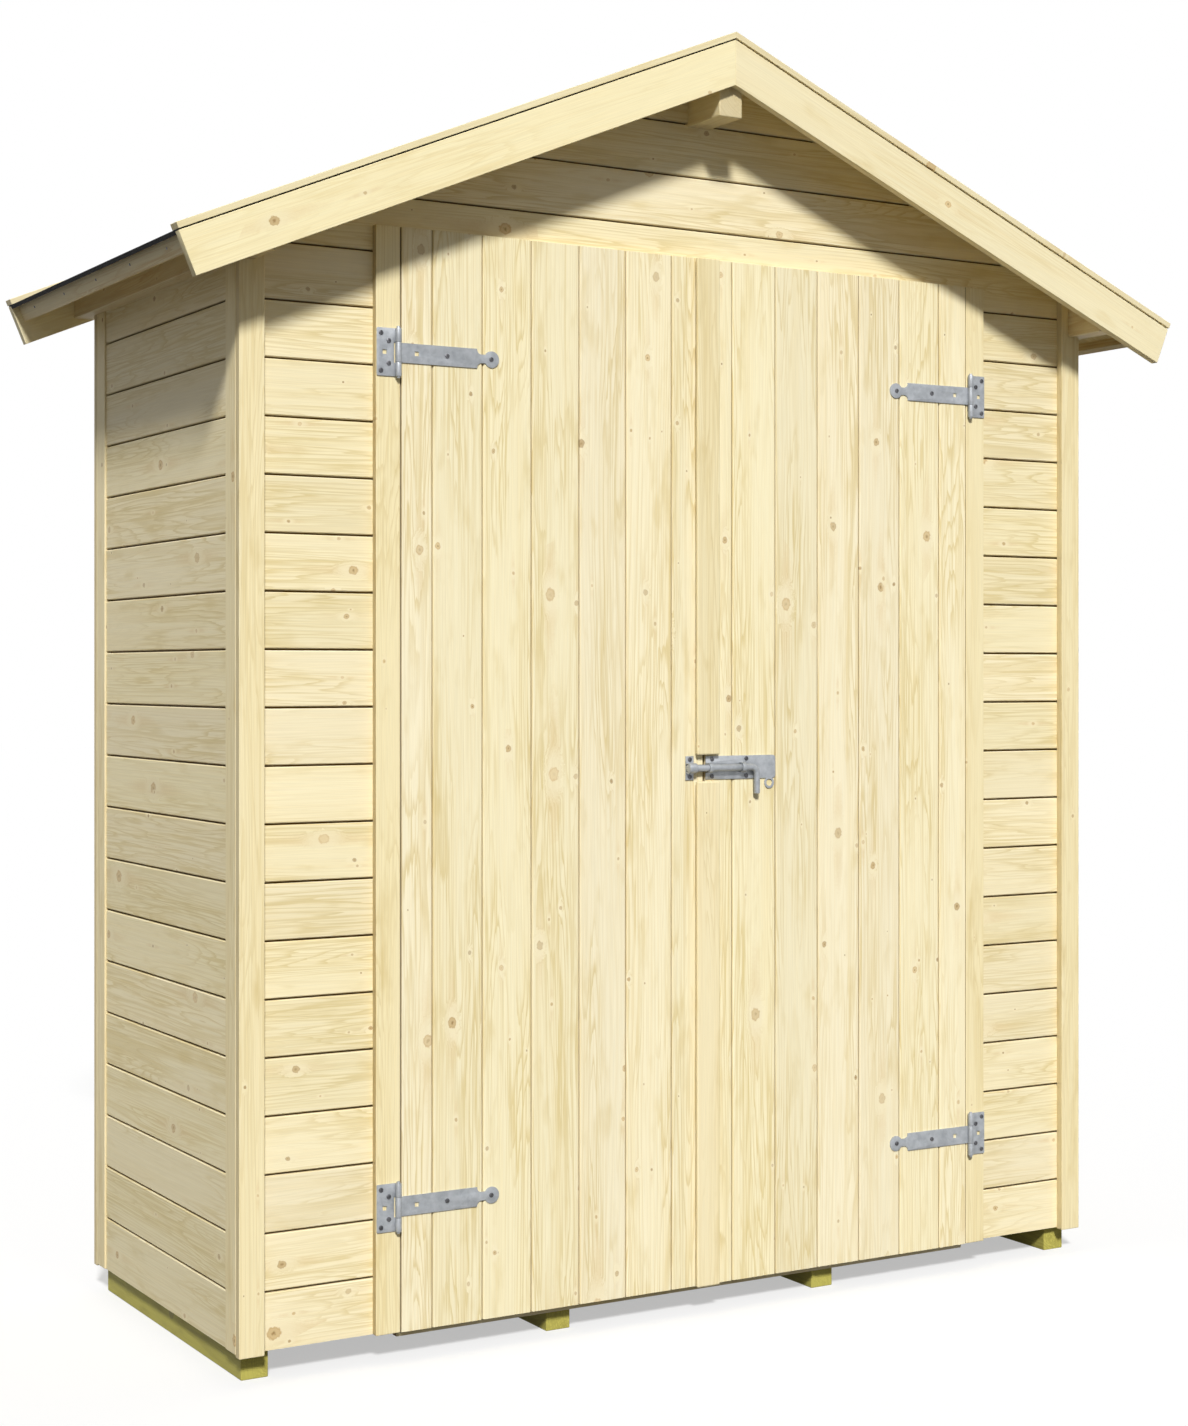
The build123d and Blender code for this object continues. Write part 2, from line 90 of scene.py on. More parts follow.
class Wiring:
    """Shorthand for wiring one shader node tree."""

    def __init__(self, tree: bpy.types.NodeTree) -> None:
        """Keep the tree that the nodes go into."""
        self.tree = tree

    def node(self, kind: str, **settings: object) -> bpy.types.Node:
        """Add a node and set its properties.

        Args:
            kind: Blender's name of the node type.
            settings: properties of the node and their values.

        Returns:
            The new node.
        """
        made = self.tree.nodes.new(kind)
        for name, value in settings.items():
            setattr(made, name, value)
        return made

    def feed(self, socket: Socket, value: object) -> None:
        """Link a socket to an input, or set the input to a constant.

        Args:
            socket: the input to feed.
            value: an output socket or a constant.
        """
        if isinstance(value, bpy.types.NodeSocket):
            self.tree.links.new(value, socket)
        else:
            socket.default_value = value

    def fill(self, made: bpy.types.Node, *values: object) -> bpy.types.Node:
        """Feed a node's inputs in order and give the node back."""
        for socket, value in zip(made.inputs, values):
            self.feed(socket, value)
        return made

    def math(self, operation: str, *values: object, clamp: bool = False) -> Socket:
        """Add a Math node.

        Args:
            operation: Blender's name of the operation.
            values: its inputs, sockets or numbers.
            clamp: whether the result stays between 0 and 1.

        Returns:
            The result.
        """
        made = self.node("ShaderNodeMath", operation=operation, use_clamp=clamp)
        return self.fill(made, *values).outputs[0]

    def vector(self, operation: str, *values: object) -> bpy.types.Node:
        """Add a Vector Math node.

        Args:
            operation: Blender's name of the operation.
            values: its inputs, sockets or triples.

        Returns:
            The node.
        """
        return self.fill(self.node("ShaderNodeVectorMath", operation=operation), *values)

    def combine(self, x: object, y: object, z: object) -> Socket:
        """Join three numbers into a vector."""
        return self.fill(self.node("ShaderNodeCombineXYZ"), x, y, z).outputs[0]

    def separate(self, vector: Socket) -> Sequence[Socket]:
        """Split a vector into its three numbers."""
        return self.fill(self.node("ShaderNodeSeparateXYZ"), vector).outputs

    def noise(self, vector: Socket, scale: float, detail: float = 2.0) -> bpy.types.Node:
        """Add a Noise Texture node.

        Args:
            vector: where the noise is read.
            scale: how fine the noise is.
            detail: how many octaves it has.

        Returns:
            The node.
        """
        made = self.node("ShaderNodeTexNoise")
        for name, value in (("Vector", vector), ("Scale", scale), ("Detail", detail)):
            self.feed(made.inputs[name], value)
        return made

    def cells(
        self, vector: Socket, scale: float, **settings: object
    ) -> tuple[bpy.types.Node, Sequence[Socket]]:
        """Add a Voronoi Texture node.

        Args:
            vector: where the cells are read.
            scale: how fine the cells are.
            settings: properties of the node and their values.

        Returns:
            The node, and three random shares of each cell.
        """
        made = self.node("ShaderNodeTexVoronoi", **settings)
        self.feed(made.inputs["Vector"], vector)
        self.feed(made.inputs["Scale"], scale)
        return made, self.fill(self.node("ShaderNodeSeparateColor"), made.outputs["Color"]).outputs

    def remap(
        self, value: object, start: object, end: object, low: object = 0.0, high: object = 1.0
    ) -> Socket:
        """Map a range onto another with a smooth step.

        Args:
            value: the number to map.
            start: where the range starts.
            end: where the range ends.
            low: the result at the start.
            high: the result at the end.

        Returns:
            The mapped number.
        """
        made = self.node("ShaderNodeMapRange", interpolation_type="SMOOTHSTEP")
        return self.fill(made, value, start, end, low, high).outputs[0]

    def mix(self, factor: object, first: object, second: object, blend: str = "MIX") -> Socket:
        """Mix two colours.

        Args:
            factor: share of the second colour.
            first: the first colour.
            second: the second colour.
            blend: Blender's name of the blend type.

        Returns:
            The mixed colour.
        """
        made = self.node("ShaderNodeMix", data_type="RGBA", blend_type=blend)
        for index, value in ((0, factor), (6, first), (7, second)):
            self.feed(made.inputs[index], value)
        return made.outputs[2]

    def bump(self, height: Socket, strength: float, distance: float) -> Socket:
        """Turn a height into a normal.

        Args:
            height: the height.
            strength: the share of it that shows.
            distance: how high a height of 1 stands, in metres.

        Returns:
            The normal.
        """
        made = self.node("ShaderNodeBump")
        for name, value in (("Strength", strength), ("Distance", distance), ("Height", height)):
            self.feed(made.inputs[name], value)
        return made.outputs["Normal"]


def principled(name: str) -> tuple[bpy.types.Material, Wiring, bpy.types.bpy_prop_collection]:
    """Start a material on one Principled shader.

    Args:
        name: the material's name.

    Returns:
        The material, its wiring and the inputs of its shader.
    """
    made = bpy.data.materials.new(name)
    made.use_nodes = True
    return made, Wiring(made.node_tree), made.node_tree.nodes["Principled BSDF"].inputs


@dataclass(frozen=True)
class DrawnNoise:
    """How fine a noise is along and across the grain, a metre, and how many octaves it has."""

    along: float
    across: float
    detail: float = 1.0


@dataclass(frozen=True)
class KnotScatter:
    """How one kind of knot lies over the planks.

    The cells are counted a metre, and each of them may hold one knot. The radii are shares of the
    finish's own knot radius.
    """

    cells_along: float
    cells_across: float
    smallest: float
    spread: float
    share: float
    seed: float


class SpruceFigure:
    """Shader group for planed softwood, drawn on the grain of each plank.

    The attribute grain holds a plank's own coordinates in metres, along, across and into it, the
    attribute plank holds three random shares, and joint is 0 on a board's faces and 1 down its edges,
    where it sets the painted shade that darkens the edges and the walls of the joints.
    Growth rings run round a pith line beside the plank.

    A value named BAND, RISE or FALL is the start and end of a smooth step and, where they aren't 0 and 1,
    the results at both. One named GAIN is a factor and what is added to it. A JUMP is how far a random share
    carries a pattern.
    """

    NAME = "spruce_figure"
    NOISE_JUMPS = (37.0, 41.0, 23.0)
    # Painted shade: the colour multiplied into a plank's edges and joint walls, standing in for the shade
    # there
    PAINTED_JOINT_SHADE = (0.21, 0.130, 0.048, 1.0)
    # Fibres, plank by plank light, warm streaks and smudges
    FIBRE = DrawnNoise(13.0, 820.0)
    FIBRE_LIGHT_GAIN = (0.16, 0.92)
    FIBRE_ROUGHNESS_GAIN = (0.14, 0.50)
    PLANK_LIGHT_GAIN = (0.075, 0.955)
    PLANK_BLUE_GAIN = (0.06, 0.965)
    STREAK = DrawnNoise(0.9, 38.0, 2.0)
    STREAK_BAND = (0.42, 0.76, 0.0, 0.50)
    SMUDGE = DrawnNoise(9.0, 34.0, 3.0)
    SMUDGE_BAND = (0.54, 0.78, 0.0, 0.55)
    # Long arches and fine lines
    HILL = DrawnNoise(1.5, 20.0)
    HILL_ARCHES = 17.0
    FRAY = DrawnNoise(9.0, 210.0)
    FRAY_DEPTH = 0.8
    ARCH_RISE = (0.52, 0.92)
    ARCH_FALL = (0.92, 1.0, 1.0, 0.0)
    FINE = DrawnNoise(5.0, 260.0, 2.0)
    FINE_BAND = (0.50, 0.66)
    BARE = DrawnNoise(2.4, 16.0)
    BARE_BAND = (0.34, 0.62, 0.12, 1.0)
    # Growth rings
    WANDER = 0.034
    WANDER_ALONG = 1.15
    WANDER_ACROSS = 3.0
    WANDER_JUMPS = (57.0, 29.0)
    PITH_ACROSS = 0.15
    PITH_DEPTH = 0.085
    PITH_NEAREST = 0.012
    RAGGED_RING = DrawnNoise(4.0, 60.0, 2.0)
    RAGGED_RING_DEPTH = 0.7
    UNEVEN_RING = DrawnNoise(0.0, 70.0)
    UNEVEN_RING_DEPTH = 2.6
    YEAR_JUMP = 97.0
    YEAR_GAIN = (0.8, 0.2)
    RING_RISE = (0.38, 0.86)
    RING_FALL = (0.88, 1.0, 1.0, 0.0)
    PATCH = DrawnNoise(1.6, 11.0)
    PATCH_BAND = (0.32, 0.66, 0.25, 1.0)
    # Where the knots lie, and their shapes
    LIVE = KnotScatter(
        cells_along=3.8, cells_across=11.0, smallest=0.40, spread=0.88, share=1.0, seed=0.0
    )
    PIN = KnotScatter(
        cells_along=6.5, cells_across=22.0, smallest=0.17, spread=0.25, share=0.4, seed=51.0
    )
    CELL_JUMPS = (231.0, 113.0)
    CELL_RANDOMNESS = 0.9
    LARGE_SHADE_GAIN = (-0.65, 1.0)
    STRENGTH_GAIN = (0.40, 0.55)
    RAGGED_SCALE = 200.0
    RAGGED_DEPTH = 0.85
    LENGTHWISE = {"near": 0.82, "wide": 0.42, "long": 0.11}
    RIM_AT = 0.85
    CORE_BAND = (0.55, 1.10, 1.0, 0.0)
    PITH_BAND = (0.05, 0.45, 1.0, 0.0)
    RIM_BAND = (0.0, 0.26, 1.0, 0.0)
    COLLAR_BAND = (0.9, 2.5, 1.0, 0.0)
    STAIN_BAND = (0.5, 1.9, 1.0, 0.0)
    BEND_DEPTH = 1.7
    # The knots' colours: shares of one colour in another, and how strongly each mask shows
    KNOT_DARK = (0.07, 0.032, 0.012, 1.0)
    DARK_SHARE = 0.60
    AMBER_SHARE = 0.35
    RIPE_SHARE = 0.45
    STAIN_SHOWS = 0.55
    COLLAR_SHOWS = 0.65
    HEART_SHOWS = 0.70
    RIM_SHOWS = 0.62
    PITH_SHOWS = 0.75
    POLISH = 0.10

    def __init__(self) -> None:
        """Build the group."""
        self.tree = bpy.data.node_groups.new(self.NAME, "ShaderNodeTree")
        self._sockets()
        self.w = Wiring(self.tree)
        self.given = self.w.node("NodeGroupInput").outputs
        self.place = self.w.separate(self.given["Grain"])
        self.lots = self.w.separate(self.given["Plank"])
        self._draw()

    def _sockets(self) -> None:
        """Name the group's inputs and outputs."""
        face = self.tree.interface
        for way, kind, names in (
            ("INPUT", "NodeSocketVector", ("Grain", "Plank")),
            ("INPUT", "NodeSocketColor", ("Pale", "Warm", "Late", "Knot")),
            ("INPUT", "NodeSocketFloat", ("Ring Width", "Figure", "Knots", "Knot Radius", "Painted Shade")),
            ("OUTPUT", "NodeSocketColor", ("Color",)),
            ("OUTPUT", "NodeSocketFloat", ("Roughness", "Height")),
        ):
            for name in names:
                face.new_socket(name, in_out=way, socket_type=kind)

    def _draw(self) -> None:
        """Wire the figure from the grain to the group's outputs."""
        w, given = self.w, self.given
        live, pin = self._knots(self.LIVE), self._knots(self.PIN)
        bend = w.math("MULTIPLY", w.math("MULTIPLY", live["collar"], live["radius"]), self.BEND_DEPTH)
        drawn = w.math("MAXIMUM", self._rings(bend), self._lines(bend))
        fibre = self._drawn_out(self.FIBRE)
        colour = w.mix(self._band(self.STREAK, self.STREAK_BAND), given["Pale"], given["Warm"])
        colour = w.mix(w.math("MULTIPLY", drawn, given["Figure"]), colour, given["Late"])
        colour = w.mix(self._band(self.SMUDGE, self.SMUDGE_BAND), colour, given["Late"])
        light = w.math(
            "MULTIPLY",
            w.math("MULTIPLY_ADD", fibre, *self.FIBRE_LIGHT_GAIN),
            w.math("MULTIPLY_ADD", self.lots[0], *self.PLANK_LIGHT_GAIN),
        )
        blue = w.math("MULTIPLY", light, w.math("MULTIPLY_ADD", self.lots[2], *self.PLANK_BLUE_GAIN))
        colour = w.mix(1.0, colour, w.combine(light, light, blue), "MULTIPLY")
        for knot in (live, pin):
            colour = self._set_in(colour, knot)
        # Painted shade down the edges and in the joints, growing with the square of the joint share
        painted_shade = w.math("MULTIPLY", given["Painted Shade"], given["Painted Shade"])
        colour = w.mix(painted_shade, colour, w.mix(1.0, colour, self.PAINTED_JOINT_SHADE, "MULTIPLY"))
        rough = w.math("MULTIPLY_ADD", fibre, *self.FIBRE_ROUGHNESS_GAIN)
        rough = w.math("SUBTRACT", rough, w.math("MULTIPLY", live["core"], self.POLISH))
        out = w.node("NodeGroupOutput").inputs
        for name, value in (("Color", colour), ("Roughness", rough), ("Height", fibre)):
            w.feed(out[name], value)

    def _drawn_out(self, noise: DrawnNoise, place: Sequence[object] | None = None) -> Socket:
        """Noise that is drawn out along the grain and differs from plank to plank.

        Args:
            noise: how fine the noise is.
            place: where it is read, or None for along, across and into the plank.

        Returns:
            The noise, mostly between 0.3 and 0.7.
        """
        w = self.w
        scales = (noise.along, noise.across, noise.across)
        lots = (self.lots[1], self.lots[0], self.lots[2])
        spot = (
            w.math("MULTIPLY_ADD", at, scale, w.math("MULTIPLY", lot, jump))
            for at, scale, lot, jump in zip(place or self.place, scales, lots, self.NOISE_JUMPS)
        )
        return w.noise(w.combine(*spot), 1.0, noise.detail).outputs["Fac"]

    def _band(
        self, noise: DrawnNoise, band: Sequence[float], place: Sequence[object] | None = None
    ) -> Socket:
        """A smooth step on drawn-out noise."""
        return self.w.remap(self._drawn_out(noise, place), *band)

    def _ridge(self, share: Socket, rise: Sequence[float], fall: Sequence[float]) -> Socket:
        """A smooth rise with a steeper fall after it."""
        return self.w.math("MULTIPLY", self.w.remap(share, *rise), self.w.remap(share, *fall))

    def _lines(self, bend: Socket) -> Socket:
        """Draw fine long arches along the grain that bend round the knots and fade in places.

        Args:
            bend: how far the knots push the lines aside.

        Returns:
            The mask of the lines.
        """
        w = self.w
        bent = (self.place[0], w.math("ADD", self.place[1], bend), self.place[2])
        hill = self._drawn_out(self.HILL, bent)
        fray = w.math("MULTIPLY", self._drawn_out(self.FRAY), self.FRAY_DEPTH)
        share = w.math("FRACT", w.math("MULTIPLY_ADD", hill, self.HILL_ARCHES, fray))
        arch = self._ridge(share, self.ARCH_RISE, self.ARCH_FALL)
        lines = w.math("MAXIMUM", arch, self._band(self.FINE, self.FINE_BAND, bent))
        return w.math("MULTIPLY", lines, self._band(self.BARE, self.BARE_BAND))

    def _set_in(self, colour: Socket, knot: dict[str, Socket]) -> Socket:
        """Set knots into the wood's colour.

        Args:
            colour: the colour of the wood.
            knot: the knots' masks.

        Returns:
            The colour with its knots.
        """
        w, given = self.w, self.given
        dark = w.mix(self.DARK_SHARE, given["Knot"], self.KNOT_DARK)
        amber = w.mix(self.AMBER_SHARE, given["Warm"], given["Knot"])
        ripe = w.mix(self.RIPE_SHARE, given["Warm"], given["Knot"])
        heart = w.mix(w.math("MULTIPLY", knot["shade"], self.HEART_SHOWS), ripe, dark)
        ring = w.mix(knot["shade"], given["Knot"], dark)
        for mask, shows, over in (
            ("stain", self.STAIN_SHOWS, amber),
            ("collar", self.COLLAR_SHOWS, given["Pale"]),
            ("core", 1.0, heart),
            ("rim", self.RIM_SHOWS, ring),
            ("pith", self.PITH_SHOWS, dark),
        ):
            colour = w.mix(w.math("MULTIPLY", knot[mask], shows), colour, over)
        return colour

    def _knots(self, kind: KnotScatter) -> dict[str, Socket]:
        """Scatter ragged knots with pale collars over the plank.

        Args:
            kind: how these knots lie.

        Returns:
            Masks of a knot's core, pith, rim, collar and stain, its shade and its radius.
        """
        w, given = self.w, self.given
        counts = (kind.cells_along, kind.cells_across)
        along, across = (
            w.math("MULTIPLY_ADD", at, count, w.math("MULTIPLY_ADD", lot, jump, kind.seed))
            for at, count, lot, jump in zip(self.place, counts, self.lots, self.CELL_JUMPS)
        )
        spot = w.combine(along, across, 0.0)
        cells, (chance, size, shade) = w.cells(spot, 1.0, voronoi_dimensions="2D")
        cells.inputs["Randomness"].default_value = self.CELL_RANDOMNESS
        offset = w.vector("SUBTRACT", spot, cells.outputs["Position"]).outputs[0]
        metric = (1 / kind.cells_along, 1 / kind.cells_across, 0.0)
        offset = w.vector("MULTIPLY", offset, metric).outputs[0]
        wanted = w.math("MULTIPLY", given["Knots"], kind.share)
        least = w.math("SUBTRACT", 1.0, wanted)
        present = w.math("GREATER_THAN", chance, least)
        vigour = w.math("DIVIDE", w.math("SUBTRACT", chance, least), wanted, clamp=True)
        large = w.math("MULTIPLY", size, size)
        shade = w.math("MULTIPLY", shade, w.math("MULTIPLY_ADD", large, *self.LARGE_SHADE_GAIN))
        share = w.math("MULTIPLY_ADD", large, kind.spread, kind.smallest)
        radius = w.math("MULTIPLY", given["Knot Radius"], share)
        ragged = w.noise(given["Grain"], self.RAGGED_SCALE).outputs["Fac"]
        rough_edge = w.math("MULTIPLY", w.math("SUBTRACT", ragged, 0.5), self.RAGGED_DEPTH)
        reach = {}
        for name, squeeze in self.LENGTHWISE.items():
            flat = w.vector("MULTIPLY", offset, (squeeze, 1.0, 0.0)).outputs[0]
            radii = w.math("DIVIDE", w.vector("LENGTH", flat).outputs["Value"], radius)
            reach[name] = w.math("ADD", radii, rough_edge)
        apart = w.math("ABSOLUTE", w.math("SUBTRACT", reach["near"], self.RIM_AT))
        strength = w.math("MULTIPLY_ADD", vigour, *self.STRENGTH_GAIN)
        masks = {
            "core": w.math("MULTIPLY", w.remap(reach["near"], *self.CORE_BAND), strength),
            "pith": w.math("MULTIPLY", w.remap(reach["near"], *self.PITH_BAND), vigour),
            "rim": w.math("MULTIPLY", w.remap(apart, *self.RIM_BAND), strength),
            "collar": w.remap(reach["wide"], *self.COLLAR_BAND),
            "stain": w.math("MULTIPLY", w.remap(reach["long"], *self.STAIN_BAND), size),
        }
        found = {name: w.math("MULTIPLY", mask, present) for name, mask in masks.items()}
        return {**found, "shade": shade, "radius": radius}

    def _rings(self, bend: Socket) -> Socket:
        """Draw the dark late wood of the growth rings, each as strong as its year.

        Args:
            bend: how far the knots push the rings aside.

        Returns:
            The mask of late wood.
        """
        w = self.w
        along, across, depth = self.place
        lot, left, deep = self.lots
        first, second = (w.math("MULTIPLY", one, jump) for one, jump in zip((lot, left), self.WANDER_JUMPS))
        slow = w.combine(
            w.math("MULTIPLY_ADD", along, self.WANDER_ALONG, first),
            w.math("MULTIPLY", across, self.WANDER_ACROSS),
            w.math("MULTIPLY_ADD", depth, self.WANDER_ACROSS, second),
        )
        drift = w.noise(slow, 1.0, 1.0).outputs["Color"]
        wander = w.vector("SUBTRACT", drift, (0.5, 0.5, 0.5)).outputs[0]
        _, sway, sink = w.separate(w.vector("MULTIPLY", wander, (self.WANDER,) * 3).outputs[0])
        aside = w.math("MULTIPLY_ADD", w.math("SUBTRACT", left, 0.5), self.PITH_ACROSS, across)
        into = w.math("MULTIPLY_ADD", deep, self.PITH_DEPTH, w.math("ADD", depth, self.PITH_NEAREST))
        aside = w.math("ADD", aside, sway)
        into = w.math("ADD", into, sink)
        squares = w.math("ADD", w.math("MULTIPLY", aside, aside), w.math("MULTIPLY", into, into))
        radius = w.math("ADD", w.math("SQRT", squares), bend)
        ragged = self._drawn_out(self.RAGGED_RING)
        uneven = self._drawn_out(self.UNEVEN_RING, (0.0, radius, 0.0))
        turn = w.math("DIVIDE", radius, self.given["Ring Width"])
        turn = w.math("MULTIPLY_ADD", uneven, self.UNEVEN_RING_DEPTH, turn)
        turn = w.math("MULTIPLY_ADD", ragged, self.RAGGED_RING_DEPTH, turn)
        year = w.node("ShaderNodeTexWhiteNoise", noise_dimensions="1D")
        w.feed(year.inputs["W"], w.math("MULTIPLY_ADD", lot, self.YEAR_JUMP, w.math("FLOOR", turn)))
        ring = self._ridge(w.math("FRACT", turn), self.RING_RISE, self.RING_FALL)
        strength = w.math("MULTIPLY_ADD", year.outputs["Value"], *self.YEAR_GAIN)
        patch = self._band(self.PATCH, self.PATCH_BAND)
        return w.math("MULTIPLY", w.math("MULTIPLY", ring, strength), patch)


SPRUCE_KNOT = (0.60, 0.35, 0.10, 1)


@dataclass(frozen=True)
class WoodFinish:
    """A planed or sawn softwood with its own colours and figure."""

    name: str
    pale: Colour
    warm: Colour
    late: Colour
    knot: Colour = SPRUCE_KNOT
    ring_width: float = 0.0052
    figure: float = 1.0
    knots: float = 0.60
    knot_radius: float = 0.0078
    # How strongly painted shade darkens the plank edges and joint walls
    joint: float = 1.0
    specular: float = 0.2
    bump: float = 0.25
    bump_height: float = 0.0006

    def material(self, figure: SpruceFigure) -> bpy.types.Material:
        """Make the material on the shared figure.

        Args:
            figure: the shared shader group.

        Returns:
            The new material.
        """
        made, w, shader = principled(self.name)
        group = w.node("ShaderNodeGroup", node_tree=figure.tree)
        for attribute, socket in (("grain", "Grain"), ("plank", "Plank")):
            read = w.node("ShaderNodeAttribute", attribute_name=attribute)
            w.feed(group.inputs[socket], read.outputs["Vector"])
        # The joint attribute, times this finish's share, sets the painted shade on edges and in joints
        joint = w.node("ShaderNodeAttribute", attribute_name="joint").outputs["Fac"]
        w.feed(group.inputs["Painted Shade"], w.math("MULTIPLY", joint, self.joint))
        settings = {
            "Pale": self.pale,
            "Warm": self.warm,
            "Late": self.late,
            "Knot": self.knot,
            "Ring Width": self.ring_width,
            "Figure": self.figure,
            "Knots": self.knots,
            "Knot Radius": self.knot_radius,
        }
        for socket, value in settings.items():
            group.inputs[socket].default_value = value
        w.feed(shader["Base Color"], group.outputs["Color"])
        w.feed(shader["Roughness"], group.outputs["Roughness"])
        shader["Specular IOR Level"].default_value = self.specular
        w.feed(shader["Normal"], w.bump(group.outputs["Height"], self.bump, self.bump_height))
        return made


@dataclass(frozen=True)
class MetalFinish:
    """Sheet or wire of plated steel with a mottled, slightly worn skin."""

    name: str
    bright: Colour
    dull: Colour
    roughness: float
    metallic: float
    spangle_scale: float = 210.0
    spangle_share: float = 0.35
    cloud_scale: float = 55.0
    cloud_band: tuple[float, ...] = (0.30, 0.72, 0.0, 0.65)
    uneven: float = 0.22
    scuff_scale: float = 900.0
    bump: float = 0.12
    bump_height: float = 0.0003

    def material(self) -> bpy.types.Material:
        """Make the material.

        Returns:
            The new material.
        """
        made, w, shader = principled(self.name)
        place = w.node("ShaderNodeTexCoord").outputs["Object"]
        _, spangle = w.cells(place, self.spangle_scale)
        cloud = w.noise(place, self.cloud_scale, 4.0).outputs["Fac"]
        scuff = w.noise(place, self.scuff_scale).outputs["Fac"]
        dulled = w.remap(cloud, *self.cloud_band)
        share = w.math("MULTIPLY_ADD", spangle[0], self.spangle_share, dulled)
        w.feed(shader["Base Color"], w.mix(share, self.bright, self.dull))
        rough = w.math("MULTIPLY_ADD", cloud, self.uneven, self.roughness - self.uneven / 2)
        w.feed(shader["Roughness"], rough)
        shader["Metallic"].default_value = self.metallic
        w.feed(shader["Normal"], w.bump(scuff, self.bump, self.bump_height))
        return made


@dataclass(frozen=True)
class FeltFinish:
    """Bitumen felt with mineral grit."""

    name: str
    bitumen: Colour
    grit: Colour
    grit_scale: float = 620.0
    grit_band: tuple[float, ...] = (0.35, 1.0)
    drift_scale: float = 6.0
    drift_band: tuple[float, ...] = (0.3, 0.75, 0.35, 1.0)
    drift_height: float = 0.6
    roughness: tuple[float, float] = (0.78, 0.94)
    specular: float = 0.12
    bump: float = 0.55
    bump_height: float = 0.0012

    def material(self) -> bpy.types.Material:
        """Make the material.

        Returns:
            The new material.
        """
        made, w, shader = principled(self.name)
        place = w.node("ShaderNodeTexCoord").outputs["Object"]
        grains, grey = w.cells(place, self.grit_scale)
        drift = w.noise(place, self.drift_scale, 5.0).outputs["Fac"]
        stones = w.remap(grey[0], *self.grit_band)
        share = w.math("MULTIPLY", stones, w.remap(drift, *self.drift_band))
        w.feed(shader["Base Color"], w.mix(share, self.bitumen, self.grit))
        w.feed(shader["Roughness"], w.remap(stones, 0.0, 1.0, *self.roughness))
        shader["Specular IOR Level"].default_value = self.specular
        sag = w.math("MULTIPLY", drift, self.drift_height)
        height = w.math("MULTIPLY_ADD", grains.outputs["Distance"], -1.0, sag)
        w.feed(shader["Normal"], w.bump(height, self.bump, self.bump_height))
        return made


